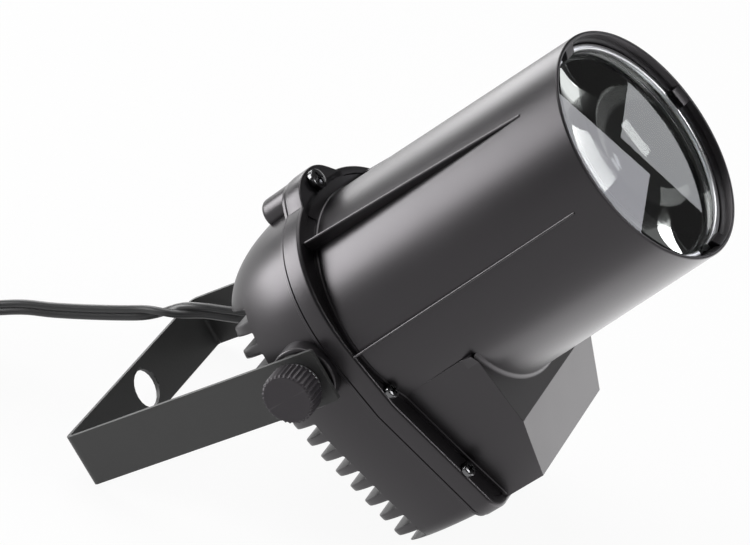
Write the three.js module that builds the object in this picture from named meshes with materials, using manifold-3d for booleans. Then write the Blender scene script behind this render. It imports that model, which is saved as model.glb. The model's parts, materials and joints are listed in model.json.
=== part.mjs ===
// Pinspot light: a small tilting spotlight in a bent steel bracket, standing on its bracket and rear fins.
// Millimetres, +X forward, +Z up, near side at -Y. The head is built along its own barrel axis,
// with x measured forward from the tilt pivot and z measured up from the barrel axis.
import * as THREE from 'three';
import { mergeVertices } from 'three/addons/utils/BufferGeometryUtils.js';
import Module from 'manifold-3d';

const wasm = await Module();
wasm.setup();

// Clearance between neighbouring pieces, and how far a cutting shape runs past the face it opens
const gap = 0.3;
const overrun = 1;

// Bracket: one flat strap bent into a U, with a bolt hole in its base
const strap = {
  width: 18, thickness: 1.5, span: 96.9, reach: 89.4, tip: 9.6, bend: 2.5, boltRadius: 6.5, foldDegrees: 11.4,
};

// Tilt pivot: a boss on each side of the rear housing, a threaded insert, washers and a knob on a stud
const stud = { radius: 2.5, engagement: 11.5, inKnob: 6.5 };
const insert = { radius: 4.2, depth: 12 };
const frictionWasher = { radius: 9, thickness: 0.75 };
const knobWasher = { radius: 7.2, thickness: 0.8 };
const knob = { radius: 8.53, length: 8.65, ridges: 28, ridgeDepth: 0.45, edge: 0.7 };
const pivot = { rise: 5.6, bossRadius: 10.5, postRadius: 7 };

// Front housing: flange, tapered barrel and the box under it
const seam = 11;
const flange = { side: 43, top: 46.5, straight: 17, foot: 36, bottom: 64.5, corner: 7, depth: 7, wall: 2 };
const barrel = { backRadius: 40.4, mouthRadius: 38.4, length: 101, wall: 2.1, lipWall: 1.1, lipDepth: 2 };
const ledge = { width: 2.8, thickness: 2.2 };
const box = {
  shoulder: 8, shoulderSide: 39, shoulderDepth: 31.6, knee: 44.5, kneeDepth: 25.2, bottom: 63.5, footSide: 27.3,
  footDepth: 15.5, wall: 2,
};
const ear = { rise: 1, radius: 6, backLength: 13.4 };
const upperRib = { degrees: 34.7, height: 5, end: 0.4, length: 86, thickness: 1.2 };
const sideRib = { degrees: 87, height: 2.4, end: 0.3, length: 90, thickness: 0.8 };
const hook = { width: 6, depth: 2.4, reach: 1.6 };

// Rear housing: a domed shell with cooling slots across its back
const rear = { setIn: 1.5, depth: 35, domeHeight: 14, domeLength: 32, domeStart: 5, draftShare: 0.07, footShare: 0.75 };
const rearShell = { wall: 2.2, corner: 6, backEdge: 3, floor: 2.5 };
const stationShares = [0, 0.18, 0.35, 0.52, 0.68, 0.82];
const cavityShares = [0.18, 0.35];
const edgeShares = [0, 0.5, 0.87, 1];
const slot = { count: 13, pitch: 6.75, lowest: -51.5, mouth: 4.4, root: 2.4, depth: 12 };
const cordBoss = { radius: 7.5, rise: 22 };

// Screws that hold the housings together, seen on the flange
const sideScrew = { inset: 3.1, drop: 13.2 };
const footScrew = { inset: 1.1, rise: 16.8 };
const smallScrew = { head: 2.3, height: 1.7, shank: 1, post: 2.4, length: 17 };
const earScrew = { head: 3.15, height: 2.1, shank: 1.6, length: 17 };
const recessWidthShare = 0.3;
const recessSpanShare = 1.3;
const recessDepthShare = 0.55;

// Lens stack at the mouth, from the seat forwards
const lens = { radius: 36, edge: 5, domeRadius: 33, domeHeight: 10.9, frontDepth: 6.1 };
const seat = { lip: 0.5, thickness: 2 };
const gasket = { thickness: 1.8, width: 2.4 };
const ring = { width: 1.6, thickness: 1.6, openDegrees: 14, openAtDegrees: 318 };

// Light engine: heat sink, board, emitter, condenser lens in its holder
const sink = {
  radius: 37.2, thickness: 4, finReach: 16, finThickness: 1.6, finPitch: 6, finHeight: 52, screwRadius: 33.4,
};
const sinkScrew = { head: 2.9, height: 1.8, shank: 1.5, length: 9, lug: 3.4, lugLength: 9 };
const board = { radius: 14, thickness: 1.6, screwOffset: 10.5 };
const boardScrew = { head: 1.9, height: 1.2, shank: 1.1, length: 4 };
const emitter = { side: 9, thickness: 0.8, domeRadius: 3.6 };
const condenser = { radius: 21.5, edge: 2.5, dome: 8 };
const holder = { flangeRadius: 29, flangeThickness: 1.8, height: 20, wall: 1.8, step: 1.5, lip: 3 };

// Driver in the box: board on two posts, with its parts on top
const driver = { back: -6, front: 31, side: 24, thickness: 1.6, lift: 5.5, postAt: 25, postAcross: 20, postRadius: 2.6 };
const driverScrew = { head: 2.2, height: 1.3, shank: 1.1, length: 6 };
const transformer = { length: 13, width: 15, height: 10, coreShare: 0.62, at: 16, across: -3 };
const capacitor = { radius: 4, height: 9, at: 20, across: 13 };
const terminal = { length: 10, width: 16, height: 9, at: -5, mouth: 2, mouthDepth: 6 };
const wire = { mainsRadius: 0.9, mainsSpread: 1.6, ledRadius: 0.7, ledSpread: 3, ledDrop: 9.5, bend: 3, behindSink: 5 };

// Cord gland: a bushing through the boss and a nut inside
const gland = { radius: 4, flangeRadius: 5.6, flangeThickness: 2, nutRadius: 6, nutThickness: 2 };

// Flat twin cord, coil, tie and plug
const cord = { width: 5.4, thickness: 2.7 };
const tailReach = 57;
const coil = { radius: 34, turns: 5, pitch: 3.35, layer: 6.05, leadOut: 16, drop: 14, end: 6, stepsPerTurn: 24 };
const tie = { width: 5, thickness: 0.8, clearance: 0.5, atDegrees: 200 };
const plug = { length: 27, width: 22, height: 13, neck: 9, neckLength: 9, shoulder: 2 };
const plugShoulderShare = 0.8;
const blade = { length: 17, width: 6.35, thickness: 1.5, spacing: 12.7, root: 5 };
// The cord's route back from the lamp, as forward and up distances from the pivot
const cordRoute = [[-43, -15.3], [-54.2, -17.4], [-78.2, -26.1], [-104.9, -33.7], [-116.5, -36.2], [-131, -41.5],
  [-144, -46.6], [-154.5, -50.3]];
const coilStart = -165;
const coilStraight = 5;

// Facets
const fine = 56;
const medium = 28;
const coarse = 12;
const wireSides = 6;
const wireSteps = 16;
const archPower = 2 / 2.3;
const archSteps = 28;
const cornerSteps = 4;

const flangeFace = seam + flange.depth;
const mouth = flangeFace + barrel.length;
const boreBack = barrel.backRadius - barrel.wall;
const pocketRadius = lens.radius + 2 * gap;
const lensFront = mouth - lens.frontDepth;
const lensBack = lensFront - lens.edge;
const gasketBack = lensBack - gap - gasket.thickness;
const seatFront = gasketBack - gap;
const seatBack = seatFront - seat.thickness;
const seatRadius = lens.domeRadius + seat.lip;
const boreFront = pocketRadius + gap;
const sinkFront = flangeFace - flange.wall;
const sinkBack = sinkFront - sink.thickness;
const ledgeBack = sinkFront + gap;
const boardFront = sinkFront + gap + board.thickness;
const armInside = strap.span / 2 - strap.thickness;
const bossFace = armInside - 2 * gap - frictionWasher.thickness;
const studHole = stud.radius + gap;
const rearSeam = seam - gap;
const rearBack = rearSeam - rear.depth;
const slotFloor = rearBack + slot.depth;
const cavityBack = slotFloor + rearShell.floor;
const backEdges = edgeShares.map((share) => rearBack + rearShell.backEdge * (1 - share));
const earRise = flange.top + ear.rise;
const driverLow = -box.bottom + box.wall + driver.lift;
const driverTop = driverLow + driver.thickness;

const radians = THREE.MathUtils.degToRad;

function blend(from, to, share) {
  return from + (to - from) * share;
}

function barrelRadiusAt(x) {
  return blend(barrel.backRadius, barrel.mouthRadius, (x - flangeFace) / barrel.length);
}

// Solids from three.js geometry: welded, without zero triangles, faces turned outwards
function solid(geometry) {
  const bare = new THREE.BufferGeometry();
  bare.setAttribute('position', geometry.getAttribute('position').clone());
  if (geometry.index) {
    bare.setIndex(geometry.index.clone());
  }
  const merged = mergeVertices(bare);
  const points = merged.getAttribute('position').array;
  const index = merged.index.array;
  const faces = [];
  let volume = 0;
  for (let i = 0; i < index.length; i += 3) {
    const [a, b, c] = [index[i], index[i + 1], index[i + 2]];
    if (a !== b && b !== c && c !== a) {
      faces.push([a, b, c]);
      const [p, q, r] = [a, b, c].map((k) => new THREE.Vector3().fromArray(points, 3 * k));
      volume += p.dot(q.cross(r));
    }
  }
  const outward = volume > 0 ? faces : faces.map(([a, b, c]) => [a, c, b]);
  return new wasm.Manifold(new wasm.Mesh({
    numProp: 3,
    vertProperties: new Float32Array(points),
    triVerts: new Uint32Array(outward.flat()),
  }));
}

// A block between two corners
function block([x0, y0, z0], [x1, y1, z1]) {
  const shape = new THREE.BoxGeometry(x1 - x0, y1 - y0, z1 - z0);
  shape.translate((x0 + x1) / 2, (y0 + y1) / 2, (z0 + z1) / 2);
  return solid(shape);
}

// Rods along X, Y and Z
function rodX(radius, from, to, y, z, sides = medium) {
  const shape = new THREE.CylinderGeometry(radius, radius, to - from, sides);
  shape.rotateZ(Math.PI / 2);
  shape.translate((from + to) / 2, y, z);
  return solid(shape);
}

function rodY(radius, from, to, x, z, sides = medium) {
  const shape = new THREE.CylinderGeometry(radius, radius, to - from, sides);
  shape.translate(x, (from + to) / 2, z);
  return solid(shape);
}

function rodZ(radius, from, to, x, y, sides = medium) {
  const shape = new THREE.CylinderGeometry(radius, radius, to - from, sides);
  shape.rotateX(Math.PI / 2);
  shape.translate(x, y, (from + to) / 2);
  return solid(shape);
}

// A body turned about the X axis, from a profile of [x, radius] that closes on itself or on the axis
function turned(profile, sides = fine) {
  const shape = new THREE.LatheGeometry(profile.map(([x, r]) => new THREE.Vector2(r, x)), sides);
  shape.rotateZ(-Math.PI / 2);
  return solid(shape);
}

function tubeProfile(from, to, inner, outer) {
  return [[from, inner], [to, inner], [to, outer], [from, outer], [from, inner]];
}

// An outline of [y, z] pulled along X, and one of [x, z] pulled along Y
function prismX(outline, from, to) {
  const shape = new THREE.Shape(outline.map(([y, z]) => new THREE.Vector2(y, z)));
  const pulled = new THREE.ExtrudeGeometry(shape, { depth: to - from, bevelEnabled: false });
  pulled.applyMatrix4(new THREE.Matrix4().set(0, 0, 1, from, 1, 0, 0, 0, 0, 1, 0, 0, 0, 0, 0, 1));
  return solid(pulled);
}

function prismY(outline, from, to) {
  const shape = new THREE.Shape(outline.map(([x, z]) => new THREE.Vector2(x, z)));
  const pulled = new THREE.ExtrudeGeometry(shape, { depth: to - from, bevelEnabled: false });
  pulled.applyMatrix4(new THREE.Matrix4().set(1, 0, 0, 0, 0, 0, 1, from, 0, 1, 0, 0, 0, 0, 0, 1));
  return solid(pulled);
}

// A closed skin through rings of points, each ring with the same count
function loft(rings) {
  const count = rings[0].length;
  const points = rings.flat();
  const index = [];
  for (let r = 0; r + 1 < rings.length; r += 1) {
    for (let i = 0; i < count; i += 1) {
      const a = r * count + i;
      const b = r * count + (i + 1) % count;
      index.push(a, b, b + count, a, b + count, a + count);
    }
  }
  const centres = [rings[0], rings.at(-1)].map((ringPoints) => {
    const sum = ringPoints.reduce((total, p) => total.add(p), new THREE.Vector3());
    return sum.divideScalar(count);
  });
  const last = (rings.length - 1) * count;
  for (let i = 0; i < count; i += 1) {
    const j = (i + 1) % count;
    index.push(points.length, j, i, points.length + 1, last + i, last + j);
  }
  const shape = new THREE.BufferGeometry();
  shape.setAttribute('position', new THREE.Float32BufferAttribute([...points, ...centres].flatMap((p) => p.toArray()), 3));
  shape.setIndex(index);
  return solid(shape);
}

// A wire or cord along a curve
function pulledAlong(curve, section, steps) {
  return solid(new THREE.ExtrudeGeometry(new THREE.Shape(section), { steps, extrudePath: curve, bevelEnabled: false }));
}

function roundSection(radius, sides) {
  return Array.from({ length: sides }, (_, i) => {
    const turn = 2 * Math.PI * (i + 0.5) / sides;
    return new THREE.Vector2(radius * Math.cos(turn), radius * Math.sin(turn));
  });
}

function joined(...bodies) {
  return bodies.reduce((whole, next) => whole.add(next));
}

function cutBy(body, ...tools) {
  return tools.reduce((whole, tool) => whole.subtract(tool), body);
}

function spunX(body, degrees) {
  return body.rotate([degrees, 0, 0]);
}

// Housing outline seen along the barrel: an arch above straight sides that draw in to a narrower foot
function archOutline({ side, top, straight, foot, bottom, corner }) {
  const points = [];
  for (let i = 0; i <= archSteps; i += 1) {
    const turn = Math.PI * i / archSteps;
    const across = Math.cos(turn);
    points.push([
      side * Math.sign(across) * Math.abs(across) ** archPower,
      top * Math.abs(Math.sin(turn)) ** archPower,
    ]);
  }
  points[0] = [side, 0];
  points[archSteps] = [-side, 0];
  points.push([-side, -straight]);
  for (const sign of [-1, 1]) {
    for (let i = 0; i <= cornerSteps; i += 1) {
      const turn = (sign < 0 ? Math.PI : 1.5 * Math.PI) + Math.PI / 2 * i / cornerSteps;
      points.push([
        sign * (foot - corner) + corner * Math.cos(turn),
        -(bottom - corner) + corner * Math.sin(turn),
      ]);
    }
  }
  points.push([side, -straight]);
  return points;
}

function smaller(sizes, by) {
  return {
    ...sizes, side: sizes.side - by, top: sizes.top - by, foot: sizes.foot - by, bottom: sizes.bottom - by,
  };
}

// Rear housing sizes at a distance along the barrel: domed on top and sides, nearly straight below
function rearSizesAt(x, inset = 0) {
  const back = Math.max(0, rear.domeStart - x);
  const dome = rear.domeHeight * (1 - Math.sqrt(1 - (back / rear.domeLength) ** 2));
  const past = Math.max(0, rearBack + rearShell.backEdge - x);
  const edge = rearShell.backEdge - Math.sqrt(Math.max(0, rearShell.backEdge ** 2 - past ** 2));
  return {
    side: flange.side - rear.setIn - dome - edge - inset,
    top: flange.top - rear.setIn - dome - edge - inset,
    straight: flange.straight,
    foot: flange.foot - rear.setIn - dome * rear.footShare - edge - inset,
    bottom: flange.bottom - rear.setIn - rear.draftShare * (rearSeam - x) - edge - inset,
    corner: rearShell.corner,
  };
}

function rearRing(x, sizes = rearSizesAt(x)) {
  return archOutline(sizes).map(([y, z]) => new THREE.Vector3(x, y, z));
}

const screwPlaces = [
  [flange.side - sideScrew.inset, -sideScrew.drop],
  [flange.foot - footScrew.inset, -(flange.bottom - footScrew.rise)],
].flatMap(([y, z]) => [[-y, z], [y, z]]);

// A pan-head screw along +X or -X: head against the face at x, cross recess in its crown
function panScrew({ head, height, shank, length }, face, y, z, heading = 1, sides = coarse) {
  const crown = [[0, 0], [0, head], [height / 2, head], [height, head / 2], [height, 0]];
  const recess = head * recessWidthShare;
  const span = head * recessSpanShare;
  const floor = height * (1 - recessDepthShare);
  let screw = joined(turned(crown, sides), rodX(shank, -length, overrun / 2, 0, 0, sides));
  screw = cutBy(
    screw,
    block([floor, -span / 2, -recess / 2], [height + overrun, span / 2, recess / 2]),
    block([floor, -recess / 2, -span / 2], [height + overrun, recess / 2, span / 2]),
  );
  return screw.rotate([0, 0, heading > 0 ? 0 : 180]).translate([face + heading * gap, y, z]);
}

// The box under the barrel: level rings from the barrel's flanks down to the foot
function underBox(back, inset) {
  const sideAt = (depth) => blend(
    box.shoulderSide, box.footSide, (depth - box.shoulder) / (box.bottom - box.shoulder));
  const levels = [
    [box.shoulder, flangeFace + box.shoulderDepth],
    [box.knee, flangeFace + box.kneeDepth],
    [box.bottom, flangeFace + box.footDepth],
  ];
  return loft(levels.map(([depth, front]) => {
    const y = sideAt(depth) - inset;
    const z = depth === box.bottom ? inset - depth : -depth;
    const x = front - inset;
    return [[back, -y], [x, -y], [x, y], [back, y]].map(([px, py]) => new THREE.Vector3(px, py, z));
  }));
}

function rib({ degrees, height, end, length, thickness }, sign) {
  const tip = flangeFace + length;
  const plate = prismY([
    [flangeFace - flange.wall, barrel.backRadius - barrel.wall / 2],
    [flangeFace - flange.wall, barrel.backRadius + height],
    [flangeFace, barrel.backRadius + height],
    [tip, barrelRadiusAt(tip) + end],
    [tip, barrelRadiusAt(tip) - barrel.wall / 2],
  ], -thickness / 2, thickness / 2);
  return spunX(plate, sign * degrees);
}

function frontHousing() {
  const inner = smaller(flange, flange.wall);
  const ribs = [upperRib, sideRib].flatMap((r) => [rib(r, 1), rib(r, -1)]);
  const barrelSolid = turned([
    [sinkFront, 0], [sinkFront, barrel.backRadius], [flangeFace, barrel.backRadius],
    [mouth, barrel.mouthRadius], [mouth, 0],
  ]);
  const bore = turned([
    [seam - overrun, 0], [seam - overrun, boreBack], [ledgeBack, boreBack],
    [ledgeBack, boreBack - ledge.width], [ledgeBack + ledge.thickness, boreBack - ledge.width],
    [ledgeBack + ledge.thickness, boreBack], [seatBack, boreFront], [seatBack, seatRadius],
    [seatFront, seatRadius], [seatFront, pocketRadius], [mouth - barrel.lipDepth, pocketRadius],
    [mouth, barrel.mouthRadius - barrel.lipWall], [mouth + overrun, barrel.mouthRadius - barrel.lipWall],
    [mouth + overrun, 0],
  ]);
  const hookTop = pocketRadius - hook.reach;
  const hooks = [0, 1, 2, 3].map((k) => spunX(block(
    [mouth - barrel.lipDepth - hook.depth / 2, -hook.width / 2, hookTop],
    [mouth - barrel.lipDepth + hook.depth / 2, hook.width / 2, barrel.mouthRadius - barrel.lipWall / 2],
  ), 90 * k));
  const lugs = [-1, 1].map((sign) => rodX(
    sinkScrew.lug, ledgeBack, ledgeBack + sinkScrew.lugLength, 0, sign * sink.screwRadius, coarse));
  const lugHoles = [-1, 1].map((sign) => rodX(
    sinkScrew.shank + gap, ledgeBack - overrun, ledgeBack + sinkScrew.lugLength - overrun,
    0, sign * sink.screwRadius, coarse));
  const posts = screwPlaces.map(([y, z]) => rodX(smallScrew.post, seam, flangeFace, y, z, coarse));
  const holes = screwPlaces.map(([y, z]) => rodX(
    smallScrew.shank + gap, seam - overrun, flangeFace + overrun, y, z, coarse));
  const headPockets = screwPlaces.map(([y, z]) => rodX(
    smallScrew.head + gap, flangeFace, flangeFace + smallScrew.height + 2 * gap, y, z, coarse));
  const driverPosts = [-1, 1].map((sign) => rodZ(
    driver.postRadius, -box.bottom + box.wall / 2, driverLow - gap, driver.postAt, sign * driver.postAcross, coarse));
  const driverHoles = [-1, 1].map((sign) => rodZ(
    driverScrew.shank + gap, -box.bottom + box.wall, driverLow, driver.postAt, sign * driver.postAcross, coarse));
  let shell = prismX(archOutline(flange), seam, flangeFace);
  shell = shell.subtract(prismX(archOutline(inner), seam - overrun, flangeFace - flange.wall));
  shell = joined(shell, underBox(flangeFace - flange.wall, 0));
  shell = shell.subtract(underBox(seam - overrun, box.wall));
  shell = joined(shell, ...posts);
  shell = joined(shell, rodX(ear.radius, seam, flangeFace, 0, earRise), barrelSolid, ...ribs);
  shell = shell.subtract(bore);
  shell = joined(shell, ...hooks, ...lugs, ...driverPosts);
  return cutBy(
    shell, ...holes, ...headPockets, ...lugHoles, ...driverHoles,
    rodX(earScrew.shank + gap, seam - overrun, flangeFace + overrun, 0, earRise, coarse));
}

function rearHousing() {
  const stations = stationShares.map((share) => blend(rearSeam, rearBack + rearShell.backEdge, share));
  const skin = loft([...stations, ...backEdges].map((x) => rearRing(x)));
  const cavityStations = cavityShares.map((share) => blend(rearSeam, rearBack, share));
  const cavity = loft([rearSeam + overrun, ...cavityStations, cavityBack].map((x) => (
    rearRing(x, rearSizesAt(x, rearShell.wall)))));
  const slots = Array.from({ length: slot.count }, (_, i) => {
    const z = slot.lowest + i * slot.pitch;
    const flare = (slot.mouth - slot.root) / 2 * (slot.depth + overrun) / slot.depth;
    const outer = slot.root / 2 + flare;
    return prismY([
      [rearBack - overrun, z - outer], [rearBack - overrun, z + outer],
      [slotFloor, z + slot.root / 2], [slotFloor, z - slot.root / 2],
    ], -flange.side, flange.side);
  });
  const earBoss = rodX(ear.radius, rearSeam - ear.backLength, rearSeam, 0, earRise - rear.setIn);
  const wallInside = flange.side - rear.setIn - rearShell.wall;
  const bosses = [-1, 1].map((sign) => rodY(
    pivot.bossRadius, ...ordered(sign * wallInside, sign * bossFace), 0, pivot.rise));
  const postEnd = Math.min(bossFace - insert.depth, wallInside) - overrun;
  const postsY = [-1, 1].map((sign) => rodY(
    pivot.postRadius, ...ordered(sign * postEnd, sign * (flange.side - rear.setIn - overrun)), 0, pivot.rise));
  const insertHoles = [-1, 1].map((sign) => rodY(
    insert.radius + gap, ...ordered(sign * (postEnd - overrun), sign * (bossFace + overrun)), 0, pivot.rise, coarse));
  const posts = screwPlaces.map(([y, z]) => rodX(
    smallScrew.post, flangeFace - smallScrew.length - overrun, rearSeam, y, z, coarse).intersect(skin));
  const holes = screwPlaces.map(([y, z]) => rodX(
    smallScrew.shank + gap, flangeFace - smallScrew.length, seam + overrun, y, z, coarse));
  const glandBoss = rodX(cordBoss.radius, rearBack, cavityBack, 0, cordBoss.rise);
  let shell = joined(skin, earBoss, ...bosses);
  shell = cutBy(shell, ...slots);
  shell = joined(shell, glandBoss);
  shell = shell.subtract(cavity);
  shell = joined(shell, ...postsY, ...posts);
  return cutBy(
    shell, ...insertHoles, ...holes,
    rodX(earScrew.shank + gap, flangeFace - earScrew.length, seam + overrun, 0, earRise, coarse),
    rodX(gland.radius + gap, rearBack - overrun, cavityBack + overrun, 0, cordBoss.rise),
  );
}

function ordered(a, b) {
  return a < b ? [a, b] : [b, a];
}

// Light engine
function heatSink() {
  const fins = [-3, -2, -1, 1, 2, 3].map((k) => block(
    [sinkFront - sink.finReach - sink.thickness, k * sink.finPitch - sink.finThickness / 2, -sink.finHeight / 2],
    [sinkBack + overrun, k * sink.finPitch + sink.finThickness / 2, sink.finHeight / 2],
  ));
  const screwHoles = [-1, 1].map((sign) => rodX(
    sinkScrew.shank + gap, sinkBack - overrun, sinkFront + overrun, 0, sign * sink.screwRadius, coarse));
  const boardHoles = [-1, 1].map((sign) => rodX(
    boardScrew.shank + gap, sinkFront - boardScrew.length, sinkFront + overrun, sign * board.screwOffset, 0, coarse));
  const wireHoles = [-1, 1].map((sign) => rodX(
    wire.ledRadius + gap, sinkBack - overrun, sinkFront + overrun, sign * wire.ledSpread, -wire.ledDrop, coarse));
  return cutBy(
    joined(rodX(sink.radius, sinkBack, sinkFront, 0, 0, fine), ...fins),
    ...screwHoles, ...boardHoles, ...wireHoles);
}

function heatSinkScrew(sign) {
  return panScrew(sinkScrew, sinkBack, 0, sign * sink.screwRadius, -1);
}

function ledBoard() {
  return cutBy(
    rodX(board.radius, sinkFront + gap, boardFront, 0, 0),
    ...[-1, 1].map((sign) => rodX(
      boardScrew.shank + gap, sinkFront, boardFront + overrun, sign * board.screwOffset, 0, coarse)));
}

function ledBoardScrew(sign) {
  return panScrew(boardScrew, boardFront, sign * board.screwOffset, 0);
}

function ledEmitter() {
  const base = boardFront + gap;
  const top = base + emitter.thickness;
  const dome = [[top - emitter.thickness / 2, 0], [top - emitter.thickness / 2, emitter.domeRadius]];
  for (let i = 0; i <= cornerSteps; i += 1) {
    const turn = Math.PI / 2 * i / cornerSteps;
    dome.push([top + emitter.domeRadius / 2 * Math.sin(turn), emitter.domeRadius * Math.cos(turn)]);
  }
  dome[dome.length - 1][1] = 0;
  const half = emitter.side / 2;
  return joined(block([base, -half, -half], [top, half, half]), turned(dome, coarse));
}

function condenserHolder() {
  const base = sinkFront + gap;
  const lensSeat = base + holder.height;
  const inner = condenser.radius - holder.step;
  const pocket = condenser.radius + gap;
  return turned([
    [base, inner], [lensSeat, inner], [lensSeat, pocket], [lensSeat + holder.lip, pocket],
    [lensSeat + holder.lip, pocket + holder.wall], [base + holder.flangeThickness, pocket + holder.wall],
    [base + holder.flangeThickness, holder.flangeRadius], [base, holder.flangeRadius], [base, inner],
  ], medium);
}

function domeProfile(from, edge, radius, height, domeRadius, heading) {
  const flat = from + heading * edge;
  const sphere = (domeRadius ** 2 + height ** 2) / (2 * height);
  const steps = 2 * cornerSteps;
  const profile = [[from, 0], [from, radius], [flat, radius]];
  for (let i = 0; i < steps; i += 1) {
    const r = domeRadius * Math.cos(Math.PI / 2 * i / steps);
    profile.push([flat + heading * (Math.sqrt(sphere ** 2 - r ** 2) - (sphere - height)), r]);
  }
  profile.push([flat + heading * height, 0]);
  return profile;
}

function condenserLens() {
  const back = sinkFront + 2 * gap + holder.height;
  return turned(domeProfile(back, condenser.edge, condenser.radius, condenser.dome, condenser.radius - gap, 1), medium);
}

function mainLens() {
  return turned(domeProfile(lensFront, lens.edge, lens.radius, lens.domeHeight, lens.domeRadius, -1));
}

function lensGasket() {
  return turned(tubeProfile(gasketBack, gasketBack + gasket.thickness, pocketRadius - gap - gasket.width, pocketRadius - gap));
}

function lensRing() {
  const outer = pocketRadius - gap;
  const start = radians(ring.openAtDegrees + ring.openDegrees / 2);
  const sweep = radians(360 - ring.openDegrees);
  const outline = [[outer, 1], [outer - ring.width, -1]].flatMap(([r, way]) => {
    const points = Array.from({ length: fine + 1 }, (_, i) => {
      const turn = start + sweep * i / fine;
      return [r * Math.cos(turn), r * Math.sin(turn)];
    });
    return way > 0 ? points : points.reverse();
  });
  return prismX(outline, lensFront + gap, lensFront + gap + ring.thickness);
}

// Driver in the box
function driverBoard() {
  return cutBy(
    block([driver.back, -driver.side, driverLow], [driver.front, driver.side, driverTop]),
    ...[-1, 1].map((sign) => rodZ(
      driverScrew.shank + gap, driverLow - overrun, driverTop + overrun, driver.postAt, sign * driver.postAcross, coarse)));
}

function driverBoardScrew(sign) {
  return panScrew(driverScrew, 0, 0, 0)
    .rotate([0, -90, 0])
    .translate([driver.postAt, sign * driver.postAcross, driverTop]);
}

function driverTransformer() {
  const low = driverTop + gap;
  const left = transformer.across - transformer.width / 2;
  const core = transformer.height * transformer.coreShare;
  const side = (transformer.height - core) / 2;
  return joined(
    block([transformer.at - transformer.length / 2, left + side, low],
      [transformer.at + transformer.length / 2, left + transformer.width - side, low + transformer.height]),
    block([transformer.at - core / 2, left, low + side],
      [transformer.at + core / 2, left + transformer.width, low + side + core]),
  );
}

function driverCapacitor() {
  return rodZ(capacitor.radius, driverTop + gap, driverTop + gap + capacitor.height, capacitor.at, capacitor.across, coarse);
}

function terminalBlock() {
  const low = driverTop + gap;
  const body = block([terminal.at, -terminal.width / 2, low],
    [terminal.at + terminal.length, terminal.width / 2, low + terminal.height]);
  const mouths = [-1, 1].map((sign) => rodZ(
    terminal.mouth, low + terminal.height - terminal.mouthDepth, low + terminal.height + overrun,
    terminal.at + terminal.length / 2, sign * terminal.width / 4, coarse));
  return cutBy(body, ...mouths);
}

// Leads run from the gland down to the terminal block, and from the light source's board to the driver
function bentWire(corners, radius) {
  const path = new THREE.CurvePath();
  let from = corners[0];
  for (let i = 1; i + 1 < corners.length; i += 1) {
    const corner = corners[i];
    const before = corner.clone().sub(corners[i - 1]).normalize().multiplyScalar(wire.bend);
    const after = corners[i + 1].clone().sub(corner).normalize().multiplyScalar(wire.bend);
    const into = corner.clone().sub(before);
    const out = corner.clone().add(after);
    path.add(new THREE.LineCurve3(from, into));
    path.add(new THREE.QuadraticBezierCurve3(into, corner, out));
    from = out;
  }
  path.add(new THREE.LineCurve3(from, corners.at(-1)));
  return pulledAlong(path, roundSection(radius, wireSides), wireSteps);
}

function mainsLead(sign) {
  const across = sign * wire.mainsSpread;
  const start = cavityBack + gap + gland.nutThickness + gap;
  const drop = start + 2 * wire.bend;
  const top = driverTop + 2 * gap + terminal.height;
  return bentWire([
    new THREE.Vector3(start, across, cordBoss.rise),
    new THREE.Vector3(drop, across, cordBoss.rise),
    new THREE.Vector3(drop, across, top),
  ], wire.mainsRadius);
}

function ledLead(sign) {
  const across = sign * wire.ledSpread;
  const behind = sinkBack - wire.behindSink;
  return bentWire([
    new THREE.Vector3(sinkFront, across, -wire.ledDrop),
    new THREE.Vector3(behind, across, -wire.ledDrop),
    new THREE.Vector3(behind, across, driverTop + gap),
  ], wire.ledRadius);
}

// Pivot hardware, the same on both sides: the sign is -1 on the near side and 1 on the far side
function pivotInsert(sign) {
  const [from, to] = ordered(sign * (bossFace - insert.depth), sign * bossFace);
  return cutBy(
    rodY(insert.radius, from, to, 0, 0, coarse),
    rodY(studHole, from - overrun, to + overrun, 0, 0, coarse));
}

function washer(sign, { radius, thickness }, start) {
  const [from, to] = ordered(sign * start, sign * (start + thickness));
  return cutBy(
    rodY(radius, from, to, 0, 0),
    rodY(studHole, from - overrun, to + overrun, 0, 0, coarse));
}

const knobStart = strap.span / 2 + 2 * gap + knobWasher.thickness;

function pivotStud(sign) {
  const [from, to] = ordered(sign * (bossFace - stud.engagement), sign * (knobStart + stud.inKnob));
  return rodY(stud.radius, from, to, 0, 0, coarse);
}

function thumbKnob(sign) {
  const outline = Array.from({ length: 2 * knob.ridges }, (_, i) => {
    const radius = knob.radius - (i % 2 ? knob.ridgeDepth : 0);
    const turn = Math.PI * i / knob.ridges;
    return [radius * Math.cos(turn), radius * Math.sin(turn)];
  });
  const core = knob.radius - knob.ridgeDepth;
  const [from, to] = ordered(sign * knobStart, sign * (knobStart + knob.length));
  const blank = turned([
    [from, 0], [from, core - knob.edge], [from + knob.edge, knob.radius + knob.edge / 4],
    [to - knob.edge, knob.radius + knob.edge / 4], [to, core - knob.edge], [to, 0],
  ], medium).rotate([0, 0, 90]);
  const hole = ordered(sign * (knobStart - overrun), sign * (knobStart + stud.inKnob + gap));
  return cutBy(prismY(outline, from, to).intersect(blank), rodY(studHole, ...hole, 0, 0, coarse));
}

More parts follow.
